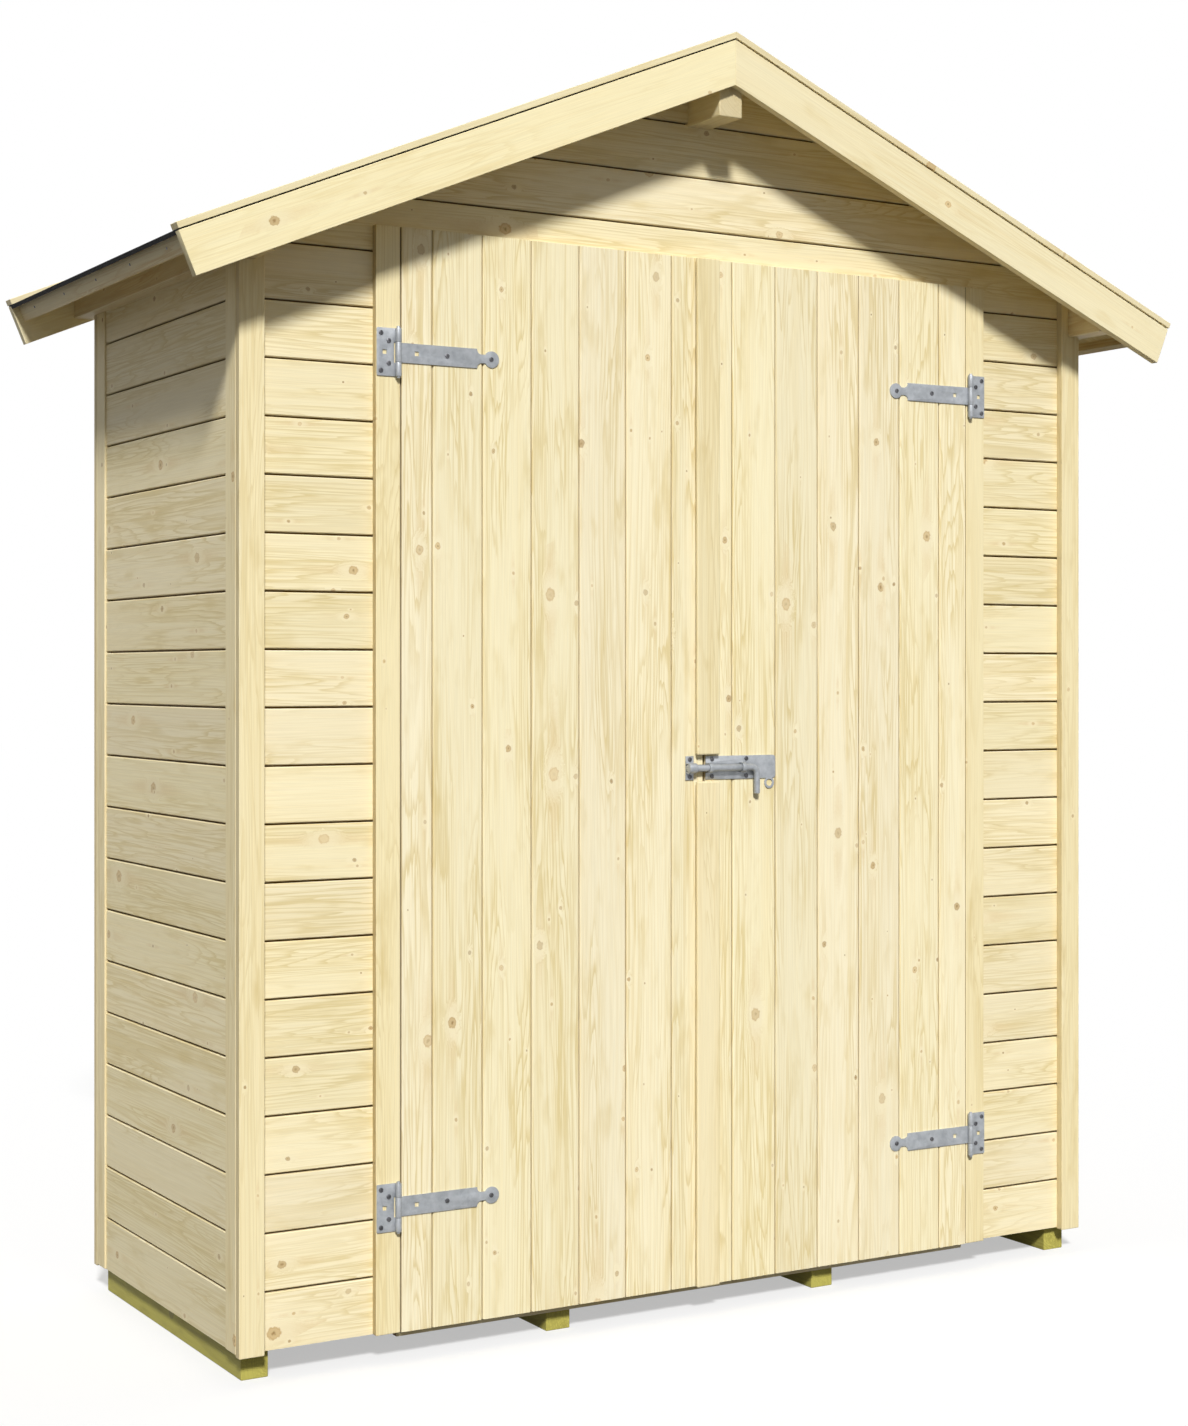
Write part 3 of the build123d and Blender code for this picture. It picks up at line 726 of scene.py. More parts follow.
class Bench:
    """Modelling moves that every sub-assembly uses."""

    SHARP = math.radians(38)
    FLAT = math.radians(0.5)
    MERGE = 0.01 * MM

    @staticmethod
    def clear() -> None:
        """Deselect everything."""
        bpy.ops.object.select_all(action="DESELECT")

    @staticmethod
    def take(*pieces: bpy.types.Object) -> None:
        """Select some pieces alone, the first of them active."""
        Bench.clear()
        for piece in pieces:
            piece.select_set(True)
        bpy.context.view_layer.objects.active = pieces[0]

    @staticmethod
    def settle() -> None:
        """Put the place, turn and size of what is selected into its mesh."""
        bpy.ops.object.transform_apply(location=True, rotation=True, scale=True)

    @staticmethod
    @contextmanager
    def editing(piece: bpy.types.Object, mode: str = "FACE") -> Iterator[None]:
        """Work on a piece in edit mode with nothing selected.

        Args:
            piece: the piece to edit.
            mode: what is selected, VERT, EDGE or FACE.
        """
        Bench.take(piece)
        bpy.ops.object.mode_set(mode="EDIT")
        bpy.ops.mesh.select_mode(type=mode)
        bpy.ops.mesh.select_all(action="DESELECT")
        yield
        bpy.ops.object.mode_set(mode="OBJECT")

    @staticmethod
    def pick_faces(piece: bpy.types.Object, test: Callable[[bmesh.types.BMFace], bool]) -> None:
        """Select the faces of a piece in edit mode that pass a test."""
        shape = bmesh.from_edit_mesh(piece.data)
        for face in shape.faces:
            face.select_set(test(face))
        bmesh.update_edit_mesh(piece.data)

    @staticmethod
    def pick_edges(piece: bpy.types.Object, test: Callable[[Vector, Vector], bool]) -> None:
        """Select the edges of a piece in edit mode whose two ends pass a test."""
        shape = bmesh.from_edit_mesh(piece.data)
        for edge in shape.edges:
            edge.select_set(test(edge.verts[0].co, edge.verts[1].co))
        bmesh.update_edit_mesh(piece.data)

    @staticmethod
    def block(name: str, low: Vector, high: Vector) -> bpy.types.Object:
        """Add a cube between two corners, with its place in its mesh.

        Args:
            name: the new piece's name.
            low: its lowest corner.
            high: its highest corner.

        Returns:
            The new piece.
        """
        Bench.clear()
        bpy.ops.mesh.primitive_cube_add(size=1.0, location=(low + high) / 2)
        made = bpy.context.object
        made.name = name
        made.scale = high - low
        Bench.settle()
        return made

    @staticmethod
    def copy(piece: bpy.types.Object, name: str, place: Matrix) -> bpy.types.Object:
        """Copy a piece with its own mesh and put the place into that mesh.

        Args:
            piece: the piece to copy.
            name: the copy's name.
            place: where the copy goes.

        Returns:
            The copy.
        """
        made = bpy.data.objects.new(name, piece.data.copy())
        bpy.context.scene.collection.objects.link(made)
        made.matrix_world = place
        Bench.take(made)
        Bench.settle()
        return made

    @staticmethod
    def cut(piece: bpy.types.Object, point: Vector, normal: Vector) -> None:
        """Cut off what lies on the normal's side of a plane and close the cut."""
        with Bench.editing(piece):
            bpy.ops.mesh.select_all(action="SELECT")
            bpy.ops.mesh.bisect(plane_co=point, plane_no=normal, use_fill=True, clear_outer=True)

    @staticmethod
    def notch(piece: bpy.types.Object, low: Vector, high: Vector) -> None:
        """Take a box out of a piece."""
        cutter = Bench.block("cutter", low, high)
        Bench.take(piece)
        change = piece.modifiers.new("notch", "BOOLEAN")
        change.object = cutter
        change.operation = "DIFFERENCE"
        change.solver = "EXACT"
        bpy.ops.object.modifier_apply(modifier=change.name)
        bpy.data.objects.remove(cutter)

    @staticmethod
    def ease(piece: bpy.types.Object, width: float, segments: int = 2) -> None:
        """Round the sharp edges of a piece."""
        Bench.take(piece)
        change = piece.modifiers.new("ease", "BEVEL")
        change.width = width
        change.segments = segments
        change.limit_method = "ANGLE"
        change.angle_limit = Bench.SHARP
        bpy.ops.object.modifier_apply(modifier=change.name)

    @staticmethod
    def join(pieces: Sequence[bpy.types.Object], name: str) -> bpy.types.Object:
        """Join pieces into one.

        Args:
            pieces: the pieces to join.
            name: the name of the result.

        Returns:
            The joined piece.
        """
        Bench.take(*pieces)
        if len(pieces) > 1:
            bpy.ops.object.join()
        made = bpy.context.view_layer.objects.active
        made.name = name
        return made

    @staticmethod
    def from_node(node: str, name: str) -> bpy.types.Object:
        """Copy a solid of the frame as whole faces.

        Args:
            node: the node to copy.
            name: the copy's name.

        Returns:
            The copy, merged and with its flat faces whole.
        """
        made = bpy.data.objects.new(name, frame["nodes"][node].data.copy())
        bpy.context.scene.collection.objects.link(made)
        with Bench.editing(made):
            bpy.ops.mesh.select_all(action="SELECT")
            bpy.ops.mesh.remove_doubles(threshold=Bench.MERGE)
            bpy.ops.mesh.dissolve_limited(angle_limit=Bench.FLAT)
        return made


class Grain:
    """Gives each plank of a piece its own grain, its own draw of figure and its share of painted shade down
    its edges.
    """

    # Greatest cosine between the grain and the normal of a face that runs along it
    END_GRAIN = 0.5

    def __init__(self, seed: int) -> None:
        """Start the draws."""
        self.draws = random.Random(seed)

    @staticmethod
    def planks(mesh: bpy.types.Mesh) -> list[list[int]]:
        """List the vertices of each separate plank in a mesh.

        Args:
            mesh: the mesh to look through.

        Returns:
            One list of vertex numbers for each plank.
        """
        parent = list(range(len(mesh.vertices)))

        def root(index: int) -> int:
            """Follow a vertex to the first of its plank."""
            while parent[index] != index:
                parent[index] = parent[parent[index]]
                index = parent[index]
            return index

        for edge in mesh.edges:
            first, second = root(edge.vertices[0]), root(edge.vertices[1])
            parent[max(first, second)] = min(first, second)
        groups: dict[int, list[int]] = {}
        for index in range(len(parent)):
            groups.setdefault(root(index), []).append(index)
        return list(groups.values())

    @staticmethod
    def axes(
        mesh: bpy.types.Mesh, plank: set[int], along: Vector | None
    ) -> tuple[Vector, Vector, Vector]:
        """Find the directions along, across and into a plank.

        Args:
            mesh: the mesh that holds the plank.
            plank: the plank's vertices.
            along: the grain's direction, or None to follow the longest edge.

        Returns:
            The three directions.
        """
        if along is None:
            edges = (e for e in mesh.edges if e.vertices[0] in plank)
            runs = (mesh.vertices[e.vertices[1]].co - mesh.vertices[e.vertices[0]].co for e in edges)
            along = max(runs, key=lambda run: run.length)
        along = along.normalized()
        faces = (f for f in mesh.polygons if f.vertices[0] in plank)
        sides = (f for f in faces if abs(f.normal.dot(along)) < Grain.END_GRAIN)
        into = max(sides, key=lambda face: face.area).normal.copy()
        into = (into - along * into.dot(along)).normalized()
        return along, into.cross(along), into

    def paint(self, piece: bpy.types.Object, along: Vector | None = None, edge: float = 0.0045) -> None:
        """Write the attributes grain, plank and joint of a piece, joint being the share of painted shade.

        Args:
            piece: the piece, one island of mesh a plank.
            along: the grain's direction, or None to follow each plank's longest edge.
            edge: how far below its faces a plank's edges are edge alone and take the full painted shade.
        """
        mesh = piece.data
        joint = mesh.attributes.new("joint", "FLOAT", "POINT")
        grain = mesh.attributes.new("grain", "FLOAT_VECTOR", "POINT")
        lots = mesh.attributes.new("plank", "FLOAT_VECTOR", "POINT")
        for plank in self.planks(mesh):
            run, across, into = self.axes(mesh, set(plank), along)
            centre = sum((mesh.vertices[i].co for i in plank), Vector()) / len(plank)
            lot = tuple(self.draws.random() for _ in range(3))
            heights = [mesh.vertices[i].co.dot(into) for i in plank]
            top, foot = max(heights), min(heights)
            for index, height in zip(plank, heights):
                # Painted shade: 0 on the two faces, rising to 1 one edge depth into the sides and joints
                joint.data[index].value = min(1.0, (top - height) / edge, (height - foot) / edge)
                offset = mesh.vertices[index].co - centre
                grain.data[index].vector = (offset.dot(run), offset.dot(across), offset.dot(into))
                lots.data[index].vector = lot


@dataclass(frozen=True)
class TonguedBoard:
    """Tongued and grooved board, lying along X with its planed face to -Y."""

    thickness: float
    gap: float
    chamfer: float
    tongue: float = 0.005
    groove: float = 0.0062
    tongue_from: float = 0.34
    tongue_to: float = 0.66
    tongue_slack: float = 0.1

    def model(self, length: float, width: float, tongued: bool, grooved: bool) -> bpy.types.Object:
        """Model one board with its joints and its chamfered face.

        Args:
            length: the board's length.
            width: its cover, from joint to joint.
            tongued: whether its upper edge has a tongue.
            grooved: whether its lower edge has a groove.

        Returns:
            The board, with a corner at the origin.
        """
        low = self.gap / 2 if grooved else 0.0
        high = width - self.gap / 2 if tongued else width
        board = Bench.block("board", Vector((0, 0, low)), Vector((length, self.thickness, high)))
        near = self.tongue_from * self.thickness
        far = self.tongue_to * self.thickness
        middle = (near + far) / 2
        with Bench.editing(board):
            for depth in (near, far):
                bpy.ops.mesh.select_all(action="SELECT")
                bpy.ops.mesh.bisect(plane_co=(0, depth, 0), plane_no=(0, 1, 0))
            for wanted, up, reach in ((tongued, 1.0, self.tongue), (grooved, -1.0, self.groove)):
                if wanted:
                    Bench.pick_faces(
                        board,
                        lambda face: face.normal.z * up > SQUARE_ON
                        and abs(face.calc_center_median().y - middle) < self.thickness * self.tongue_slack,
                    )
                    bpy.ops.mesh.extrude_region_move(TRANSFORM_OT_translate={"value": (0, 0, reach)})
        joints = [z for z, wanted in ((low, grooved), (high, tongued)) if wanted]
        with Bench.editing(board, "EDGE"):
            for joint in joints:
                Bench.pick_edges(
                    board,
                    lambda one, two: max(abs(one.y), abs(two.y)) < TOUCH
                    and max(abs(one.z - joint), abs(two.z - joint)) < TOUCH,
                )
                bpy.ops.mesh.bevel(offset=self.chamfer, segments=1)
        return board


def board_place(corner: Vector, along: Vector, face: Vector) -> Matrix:
    """Placing matrix of a board.

    Args:
        corner: where the board's starting corner goes, on its planed face.
        along: the direction of its length.
        face: the way its planed face looks.

    Returns:
        The matrix.
    """
    into = -face
    up = along.cross(into)
    turn = Matrix((along, into, up)).transposed().to_4x4()
    return Matrix.Translation(corner) @ turn


def board_edges(first: Sequence[float], end: float, cover: float, narrowest: float) -> list[float]:
    """Where boards begin and end, laid side by side.

    Args:
        first: the first edges.
        end: the last edge.
        cover: a board's cover, from joint to joint.
        narrowest: the least that is left for the last board.

    Returns:
        Every edge in order.
    """
    edges = list(first)
    while edges[-1] + cover < end - narrowest:
        edges.append(edges[-1] + cover)
    return [*edges, end]


@dataclass
class Dresser:
    """Hands finished pieces to the frame."""

    materials: dict[str, bpy.types.Material] = field(default_factory=dict)

    def hand_over(
        self, piece: bpy.types.Object, material: str, body: Body, slot: str, *nodes: str
    ) -> bpy.types.Object:
        """Dress a piece, set it riding and let it stand for its nodes.

        Args:
            piece: the finished piece.
            material: the name of its material.
            body: the body that it rides on.
            slot: the record's material slot, not used.
            nodes: the nodes that it stands for.

        Returns:
            The piece.
        """
        piece.data.materials.clear()
        piece.data.materials.append(self.materials[material])
        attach(piece, body.value)
        if nodes:
            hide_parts(*nodes)
        LOG.info("%s rides on %s, %d faces", piece.name, body.value, len(piece.data.polygons))
        return piece


@dataclass
class Roofline:
    """The roof's planes, read from the frame."""

    soffits: dict[str, tuple[Vector, Vector]] = field(default_factory=dict)

    def __post_init__(self) -> None:
        """Find the underside of each roof slope."""
        for side in ("left", "right"):
            mesh = frame["nodes"][f"roof_deck_{side}"].data
            lower = (f for f in mesh.polygons if f.normal.z < -SLOPING)
            under = max(lower, key=lambda face: face.area)
            self.soffits[side] = (under.center.copy(), -under.normal)

    def trim(self, piece: bpy.types.Object) -> None:
        """Cut a piece off along the underside of both slopes."""
        for point, normal in self.soffits.values():
            Bench.cut(piece, point, normal)

    def height(self, x: float) -> float:
        """Height of the lower of the two soffits at a place across the shed."""
        return min(p.z - (n.x * (x - p.x)) / n.z for p, n in self.soffits.values())


@dataclass
class Cladding:
    """Horizontal tongued boards on the four walls."""

    dresser: Dresser
    grain: Grain
    roof: Roofline
    cover: float = 0.090
    board: TonguedBoard = TonguedBoard(
        thickness=0.016,
        gap=0.0030,
        chamfer=0.0015,
        tongue=0.0070,
        groove=0.0082,
        tongue_from=0.55,
        tongue_to=0.80,
    )
    fit: float = 0.0005
    sliver: float = 0.0001

    def build(self) -> None:
        """Board all four walls."""
        self._front()
        for node, facing in (
            ("back_wall", Facing.BACK),
            ("left_wall", Facing.LEFT),
            ("right_wall", Facing.RIGHT),
        ):
            self._wall(node, facing)

    def _rows(self, top: float) -> Iterator[tuple[int, float]]:
        """Number and foot of each row of boards below a height."""
        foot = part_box("left_wall")[0].z
        row = 0
        while foot + row * self.cover < top - self.sliver:
            yield row, foot + row * self.cover
            row += 1

    def _lay(
        self, low: Vector, high: Vector, facing: Facing, foot: float, first: bool
    ) -> bpy.types.Object:
        """Lay one board in a wall.

        Args:
            low: the wall's lowest corner.
            high: the wall's highest corner.
            facing: the way the wall looks.
            foot: the height of the row's lower joint.
            first: whether this is the lowest row.

        Returns:
            The board.
        """
        face = Vector(facing.value)
        along = Vector((0, 0, 1)).cross(-face) * -1
        length = abs((high - low).dot(along))
        corner = Vector(
            (
                high.x if face.x > 0 or along.x < 0 else low.x,
                high.y if face.y > 0 or along.y < 0 else low.y,
                foot,
            )
        )
        made = self.board.model(length, self.cover, True, not first)
        made.data.transform(board_place(corner, along, face))
        return made

    def _front(self) -> None:
        """Board the front: panels beside the doorway, the header and the gable."""
        left, right, gable = (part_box(n) for n in ("front_wall_left", "front_wall_right", "front_gable"))
        boards = []
        for row, foot in self._rows(gable[1].z):
            head = foot + self.cover
            if head <= gable[0].z:
                spans = (left, right)
            else:
                spans = ((Vector((gable[0].x, gable[0].y, left[0].z)), gable[1]),)
            for low, high in spans:
                board = self._lay(low, high, Facing.FRONT, foot, row == 0)
                if foot < gable[0].z < head:
                    door_low = Vector((left[1].x, low.y - self.cover, foot - self.cover))
                    door_high = Vector((right[0].x, high.y + self.cover, gable[0].z))
                    Bench.notch(board, door_low, door_high)
                self._under_roof(board, head)
                boards.append(board)
        piece = Bench.join(boards, "front_boards")
        self.grain.paint(piece, Vector((1, 0, 0)))
        nodes = ("front_wall_left", "front_wall_right", "front_gable")
        self.dresser.hand_over(piece, "cladding", Body.SHED, "cladding", *nodes)

    def _wall(self, node: str, facing: Facing) -> None:
        """Board one plain wall.

        Args:
            node: the wall's node.
            facing: the way the wall looks.
        """
        low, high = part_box(node)
        side = facing in (Facing.LEFT, Facing.RIGHT)
        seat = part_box("front_gable")[1].x
        boards = []
        for row, foot in self._rows(high.z):
            head = foot + self.cover
            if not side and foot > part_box("side_top_rails")[0].z:
                low.x, high.x = -seat, seat
            board = self._lay(low, high, facing, foot, row == 0)
            if side and head + self.board.tongue > high.z:
                Bench.cut(board, high, Vector((0, 0, 1)))
            elif not side:
                self._under_roof(board, head)
            boards.append(board)
        piece = Bench.join(boards, node + "_boards")
        self.grain.paint(piece, Vector((0, 1, 0)) if side else Vector((1, 0, 0)))
        self.dresser.hand_over(piece, "cladding", Body.SHED, "cladding", node)

    def _under_roof(self, board: bpy.types.Object, head: float) -> None:
        """Cut a front or back board under the slopes, round the ridge beam and round the top rails.

        Args:
            board: the board to cut.
            head: the height of the board's upper joint.
        """
        top = head + self.board.tongue
        beam_low, beam_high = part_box("ridge_beam")
        rail_low, rail_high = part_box("side_top_rails")
        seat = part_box("front_gable")[1].x
        ends = [v.co.x for v in board.data.vertices]
        if top > rail_low.z and min(ends) < -seat - self.fit:
            right_end = Vector((-seat, rail_high.y, rail_high.z + self.cover))
            Bench.notch(board, rail_low, right_end)
        if top > rail_low.z and max(ends) > seat + self.fit:
            left_end = Vector((seat, rail_low.y, rail_low.z))
            Bench.notch(board, left_end, rail_high + Vector((0, 0, self.cover)))
        if top > self.roof.height(min(seat, max(ends))):
            self.roof.trim(board)
        if top > beam_low.z:
            room = Vector((self.fit, 0, 0))
            Bench.notch(board, beam_low - room, beam_high + room + Vector((0, 0, self.cover)))


@dataclass
class DoorLeaf:
    """Upright tongued boards of one door leaf."""

    dresser: Dresser
    grain: Grain
    side: str
    body: Body
    first_width: float
    cover: float = 0.0903
    board: TonguedBoard = TonguedBoard(
        thickness=0.014, gap=0.0017, chamfer=0.0021, tongue=0.004, groove=0.005
    )
    narrowest: float = 0.02
    eased: float = 0.0004

    def build(self) -> None:
        """Board the leaf from its left edge to its right edge."""
        node = f"{self.side}_door_boards"
        low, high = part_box(node)
        edges = board_edges((low.x, low.x + self.first_width), high.x, self.cover, self.narrowest)
        boards = []
        for index, (start, end) in enumerate(zip(edges, edges[1:])):
            last = index == len(edges) - 2
            board = self.board.model(high.z - low.z, end - start, index > 0, not last)
            place = board_place(Vector((end, low.y, low.z)), Vector((0, 0, 1)), Vector((0, -1, 0)))
            board.data.transform(place)
            boards.append(board)
        piece = Bench.join(boards, node + "_tongued")
        Bench.ease(piece, self.eased, 1)
        self.grain.paint(piece, Vector((0, 0, 1)))
        self.dresser.hand_over(piece, "door_boards", self.body, "door_boards", node)


@dataclass
class FloorBoards:
    """Floor boards laid across the bearers."""

    dresser: Dresser
    grain: Grain
    cover: float = 0.090
    board: TonguedBoard = TonguedBoard(thickness=0.016, gap=0.0008, chamfer=0.0006)
    narrowest: float = 0.01
    clear: float = 0.1

    def build(self) -> None:
        """Lay the floor from the threshold to the back wall."""
        low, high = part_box("floor_deck")
        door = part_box("threshold")
        edges = board_edges((low.y,), high.y, self.cover, self.narrowest)
        boards = []
        for index, (start, end) in enumerate(zip(edges, edges[1:])):
            last = index == len(edges) - 2
            board = self.board.model(high.x - low.x, end - start, not last, index > 0)
            place = board_place(Vector((low.x, start, high.z)), Vector((1, 0, 0)), Vector((0, 0, 1)))
            board.data.transform(place)
            if index == 0:
                wall_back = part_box("front_wall_left")[1].y
                front = low.y - self.clear
                for one, two in ((low.x - self.clear, door[0].x), (door[1].x, high.x + self.clear)):
                    Bench.notch(board, Vector((one, front, 0)), Vector((two, wall_back, 1)))
            boards.append(board)
        piece = Bench.join(boards, "floor_boards")
        self.grain.paint(piece, Vector((1, 0, 0)))
        self.dresser.hand_over(piece, "frame_timber", Body.SHED, "floor_boards", "floor_deck")


@dataclass
class RoofBoards:
    """Deck boards that run from the ridge down to the eaves, planed side down."""

    dresser: Dresser
    grain: Grain
    roof: Roofline
    cover: float = 0.090
    board: TonguedBoard = TonguedBoard(thickness=0.016, gap=0.0010, chamfer=0.0016)
    narrowest: float = 0.01
    past_ridge: float = 0.05

    def build(self) -> None:
        """Lay both slopes."""
        for side, way in (("left", -1.0), ("right", 1.0)):
            self._slope(side, way)

    def _slope(self, side: str, way: float) -> None:
        """Lay one slope.

        Args:
            side: left or right.
            way: -1 for the left slope and 1 for the right one.
        """
        node = f"roof_deck_{side}"
        low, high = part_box(node)
        point, normal = self.roof.soffits[side]
        down = Vector((abs(normal.z) * way, 0, -abs(normal.x)))
        ridge = point - down * (point.x / down.x)
        run = max((v.co - ridge).dot(down) for v in frame["nodes"][node].data.vertices)
        start = ridge - down * self.past_ridge
        edges = board_edges((low.y,), high.y, self.cover, self.narrowest)
        boards = []
        for index, (near, far) in enumerate(zip(edges, edges[1:])):
            last = index == len(edges) - 2
            board = self.board.model(run + self.past_ridge, far - near, not last, index > 0)
            up = down.cross(normal)
            corner = Vector((start.x, near if up.y > 0 else low.y + high.y - near, start.z))
            board.data.transform(board_place(corner, down, -normal))
            Bench.cut(board, Vector((0, 0, 0)), Vector((-way, 0, 0)))
            boards.append(board)
        piece = Bench.join(boards, node + "_boards")
        self.grain.paint(piece, down)
        self.dresser.hand_over(piece, "cladding", Body.SHED, "roof_boards", node)


@dataclass
class Timbers:
    """Plain timbers of the frame, trims, roof edges and doors, with eased edges."""

    dresser: Dresser
    grain: Grain

    def build(self) -> None:
        """Dress every plain timber."""
        plain = (
            ("threshold", "cladding", Body.SHED, "cladding", 0.0010),
            ("corner_face_boards", "trim_boards", Body.SHED, "trim_boards", 0.0014),
            ("corner_side_boards", "trim_boards", Body.SHED, "trim_boards", 0.0014),
            # The door trims take the jamb finish, with stronger painted shade on their sides
            ("door_trims", "jamb_boards_painted_shade", Body.SHED, "trim_boards", 0.0014),
            ("corner_posts", "frame_timber", Body.SHED, "frame_timber", 0.0020),
            ("door_posts", "frame_timber", Body.SHED, "frame_timber", 0.0020),
            ("back_stud", "frame_timber", Body.SHED, "frame_timber", 0.0020),
            ("bottom_rails", "frame_timber", Body.SHED, "frame_timber", 0.0020),
            ("head_rails", "frame_timber", Body.SHED, "frame_timber", 0.0020),
            ("side_top_rails", "frame_timber", Body.SHED, "frame_timber", 0.0020),
            ("ridge_beam", "trim_boards", Body.SHED, "frame_timber", 0.0016),
            ("eave_board_left", "frame_timber", Body.SHED, "roof_boards", 0.0012),
            ("eave_board_right", "frame_timber", Body.SHED, "roof_boards", 0.0012),
            ("left_barge_boards", "barge_boards", Body.SHED, "roof_boards", 0.0008),
            ("right_barge_boards", "barge_boards", Body.SHED, "roof_boards", 0.0008),
            ("left_barge_caps", "barge_boards", Body.SHED, "roof_boards", 0.0007),
            ("right_barge_caps", "barge_boards", Body.SHED, "roof_boards", 0.0007),
            ("left_door_ledges", "frame_timber", Body.LEFT_DOOR, "door_boards", 0.0016),
            ("right_door_ledges", "frame_timber", Body.RIGHT_DOOR, "door_boards", 0.0016),
            ("door_cover_strip", "trim_boards", Body.RIGHT_DOOR, "door_boards", 0.0030),
            ("bearers", "treated_timber", Body.SHED, "treated_timber", 0.0016),
        )
        for node, material, body, slot, ease in plain:
            piece = Bench.from_node(node, node + "_timber")
            Bench.ease(piece, ease)
            # Painted shade reaches full strength one ease below the faces, over each timber's sides
            self.grain.paint(piece, edge=ease)
            self.dresser.hand_over(piece, material, body, slot, node)


@dataclass
class Ironmongery:
    """Hinges, bolt and their screws."""

    dresser: Dresser
    sheet: float = 0.002
    eased: float = 0.0004
    smooth_sheet: float = math.radians(32)
    smooth_head: float = math.radians(40)
    head_radius: float = 0.0038
    head_height: float = 0.0012
    head_sides: int = 20
    head_rim: float = 0.3
    head_dome: float = 0.5
    recess_width: float = 0.14
    recess_reach: float = 0.52
    recess_floor: float = 0.75
    nail_radius: float = 0.0021
    nail_height: float = 0.0005
    nail_sides: int = 14
    nail_rim: float = 0.35
    nail_dome: float = 0.5
    nails: int = 5
    plate_holes: tuple[tuple[float, float], ...] = (
        (0.0286, 0.0297),
        (0.0150, 0.0177),
        (0.0150, -0.0177),
        (0.0286, -0.0297),
    )
    strap_holes: tuple[float, ...] = (0.0877, 0.1675)
    bolt_holes: tuple[float, ...] = (0.0125, 0.0831)
    bolt_rises: tuple[float, ...] = (0.0148, -0.0148)

    def build(self) -> None:
        """Dress the metal, drive the screws and nail the eave boards."""
        metal = (
            ("hinge_plates", Body.SHED),
            ("hinge_pins", Body.SHED),
            ("left_hinge_straps", Body.LEFT_DOOR),
            ("bolt_keeper", Body.LEFT_DOOR),
            ("right_hinge_straps", Body.RIGHT_DOOR),
            ("bolt_plate", Body.RIGHT_DOOR),
            ("bolt_bar", Body.BOLT),
        )
        for node, body in metal:
            piece = Bench.from_node(node, node + "_zinc")
            Bench.ease(piece, self.eased)
            Bench.take(piece)
            bpy.ops.object.shade_smooth_by_angle(angle=self.smooth_sheet)
            self.dresser.hand_over(piece, "zinc", body, "galvanised_steel", node)
        head = self._screw_head()
        for name, body, places in self._screws():
            heads = [Bench.copy(head, "screw", Matrix.Translation(p)) for p in places]
            piece = Bench.join(heads, name)
            self.dresser.hand_over(piece, "screws", body, "galvanised_steel")
        bpy.data.objects.remove(head)
        for side, way in (("left", -1.0), ("right", 1.0)):
            self._eave_nails(side, way)

    def _eave_nails(self, side: str, way: float) -> None:
        """Drive a row of nails into the face of one eave board.

        Args:
            side: left or right.
            way: -1 for the left eave and 1 for the right one.
        """
        board = frame["nodes"][f"eave_board_{side}"].data
        outer = (f for f in board.polygons if f.normal.x * way > SLOPING)
        face = max(outer, key=lambda one: one.area)
        low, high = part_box(f"eave_board_{side}")
        corners = [v.co for v in board.vertices if abs((v.co - face.center).dot(face.normal)) < TOUCH]
        middle = sum(corners, Vector()) / len(corners)
        pitch = (high.y - low.y) / self.nails
        turn = face.normal.to_track_quat("Z", "Y").to_matrix().to_4x4()
        head = self._nail_head()
        heads = []
        for index in range(self.nails):
            place = Vector((middle.x, low.y + pitch * (index + 0.5), middle.z))
            heads.append(Bench.copy(head, "nail", Matrix.Translation(place) @ turn))
        bpy.data.objects.remove(head)
        piece = Bench.join(heads, f"{side}_eave_nails")
        self.dresser.hand_over(piece, "screws", Body.SHED, "galvanised_steel")

    def _nail_head(self) -> bpy.types.Object:
        """Model one nail head with a sloping rim, its seat at the origin and its face to Z.

        Returns:
            The nail head.
        """
        Bench.clear()
        bpy.ops.mesh.primitive_cylinder_add(
            vertices=self.nail_sides, radius=self.nail_radius, depth=2 * self.nail_height
        )
        head = bpy.context.object
        head.name = "nail_head"
        with Bench.editing(head):
            Bench.pick_faces(head, lambda face: face.normal.z > SQUARE_ON)
            bpy.ops.mesh.inset(thickness=self.nail_radius * self.nail_rim)
            bpy.ops.transform.translate(value=(0, 0, self.nail_height * self.nail_dome))
        return head

    def _screw_head(self) -> bpy.types.Object:
        """Model one pan head with a cross recess, its seat at the origin and its head to -Y.

        Returns:
            The screw head.
        """
        Bench.clear()
        bpy.ops.mesh.primitive_cylinder_add(
            vertices=self.head_sides,
            radius=self.head_radius,
            depth=self.head_height,
            rotation=(math.pi / 2, 0, 0),
        )
        head = bpy.context.object
        head.name = "screw_head"
        Bench.settle()
        head.data.transform(Matrix.Translation((0, -self.head_height / 2, 0)))
        with Bench.editing(head):
            Bench.pick_faces(head, lambda face: face.normal.y < -SQUARE_ON)
            bpy.ops.mesh.inset(thickness=self.head_radius * self.head_rim)
            bpy.ops.transform.translate(value=(0, -self.head_height * self.head_dome, 0))
        slot = self.head_radius * self.recess_width
        reach = self.head_radius * self.recess_reach
        for wide, tall in ((slot, reach), (reach, slot)):
            deep = Vector((wide, self.head_height * 2, tall))
            Bench.notch(head, -deep, Vector((wide, -self.head_height * self.recess_floor, tall)))
        Bench.take(head)
        bpy.ops.object.shade_smooth_by_angle(angle=self.smooth_head)
        return head

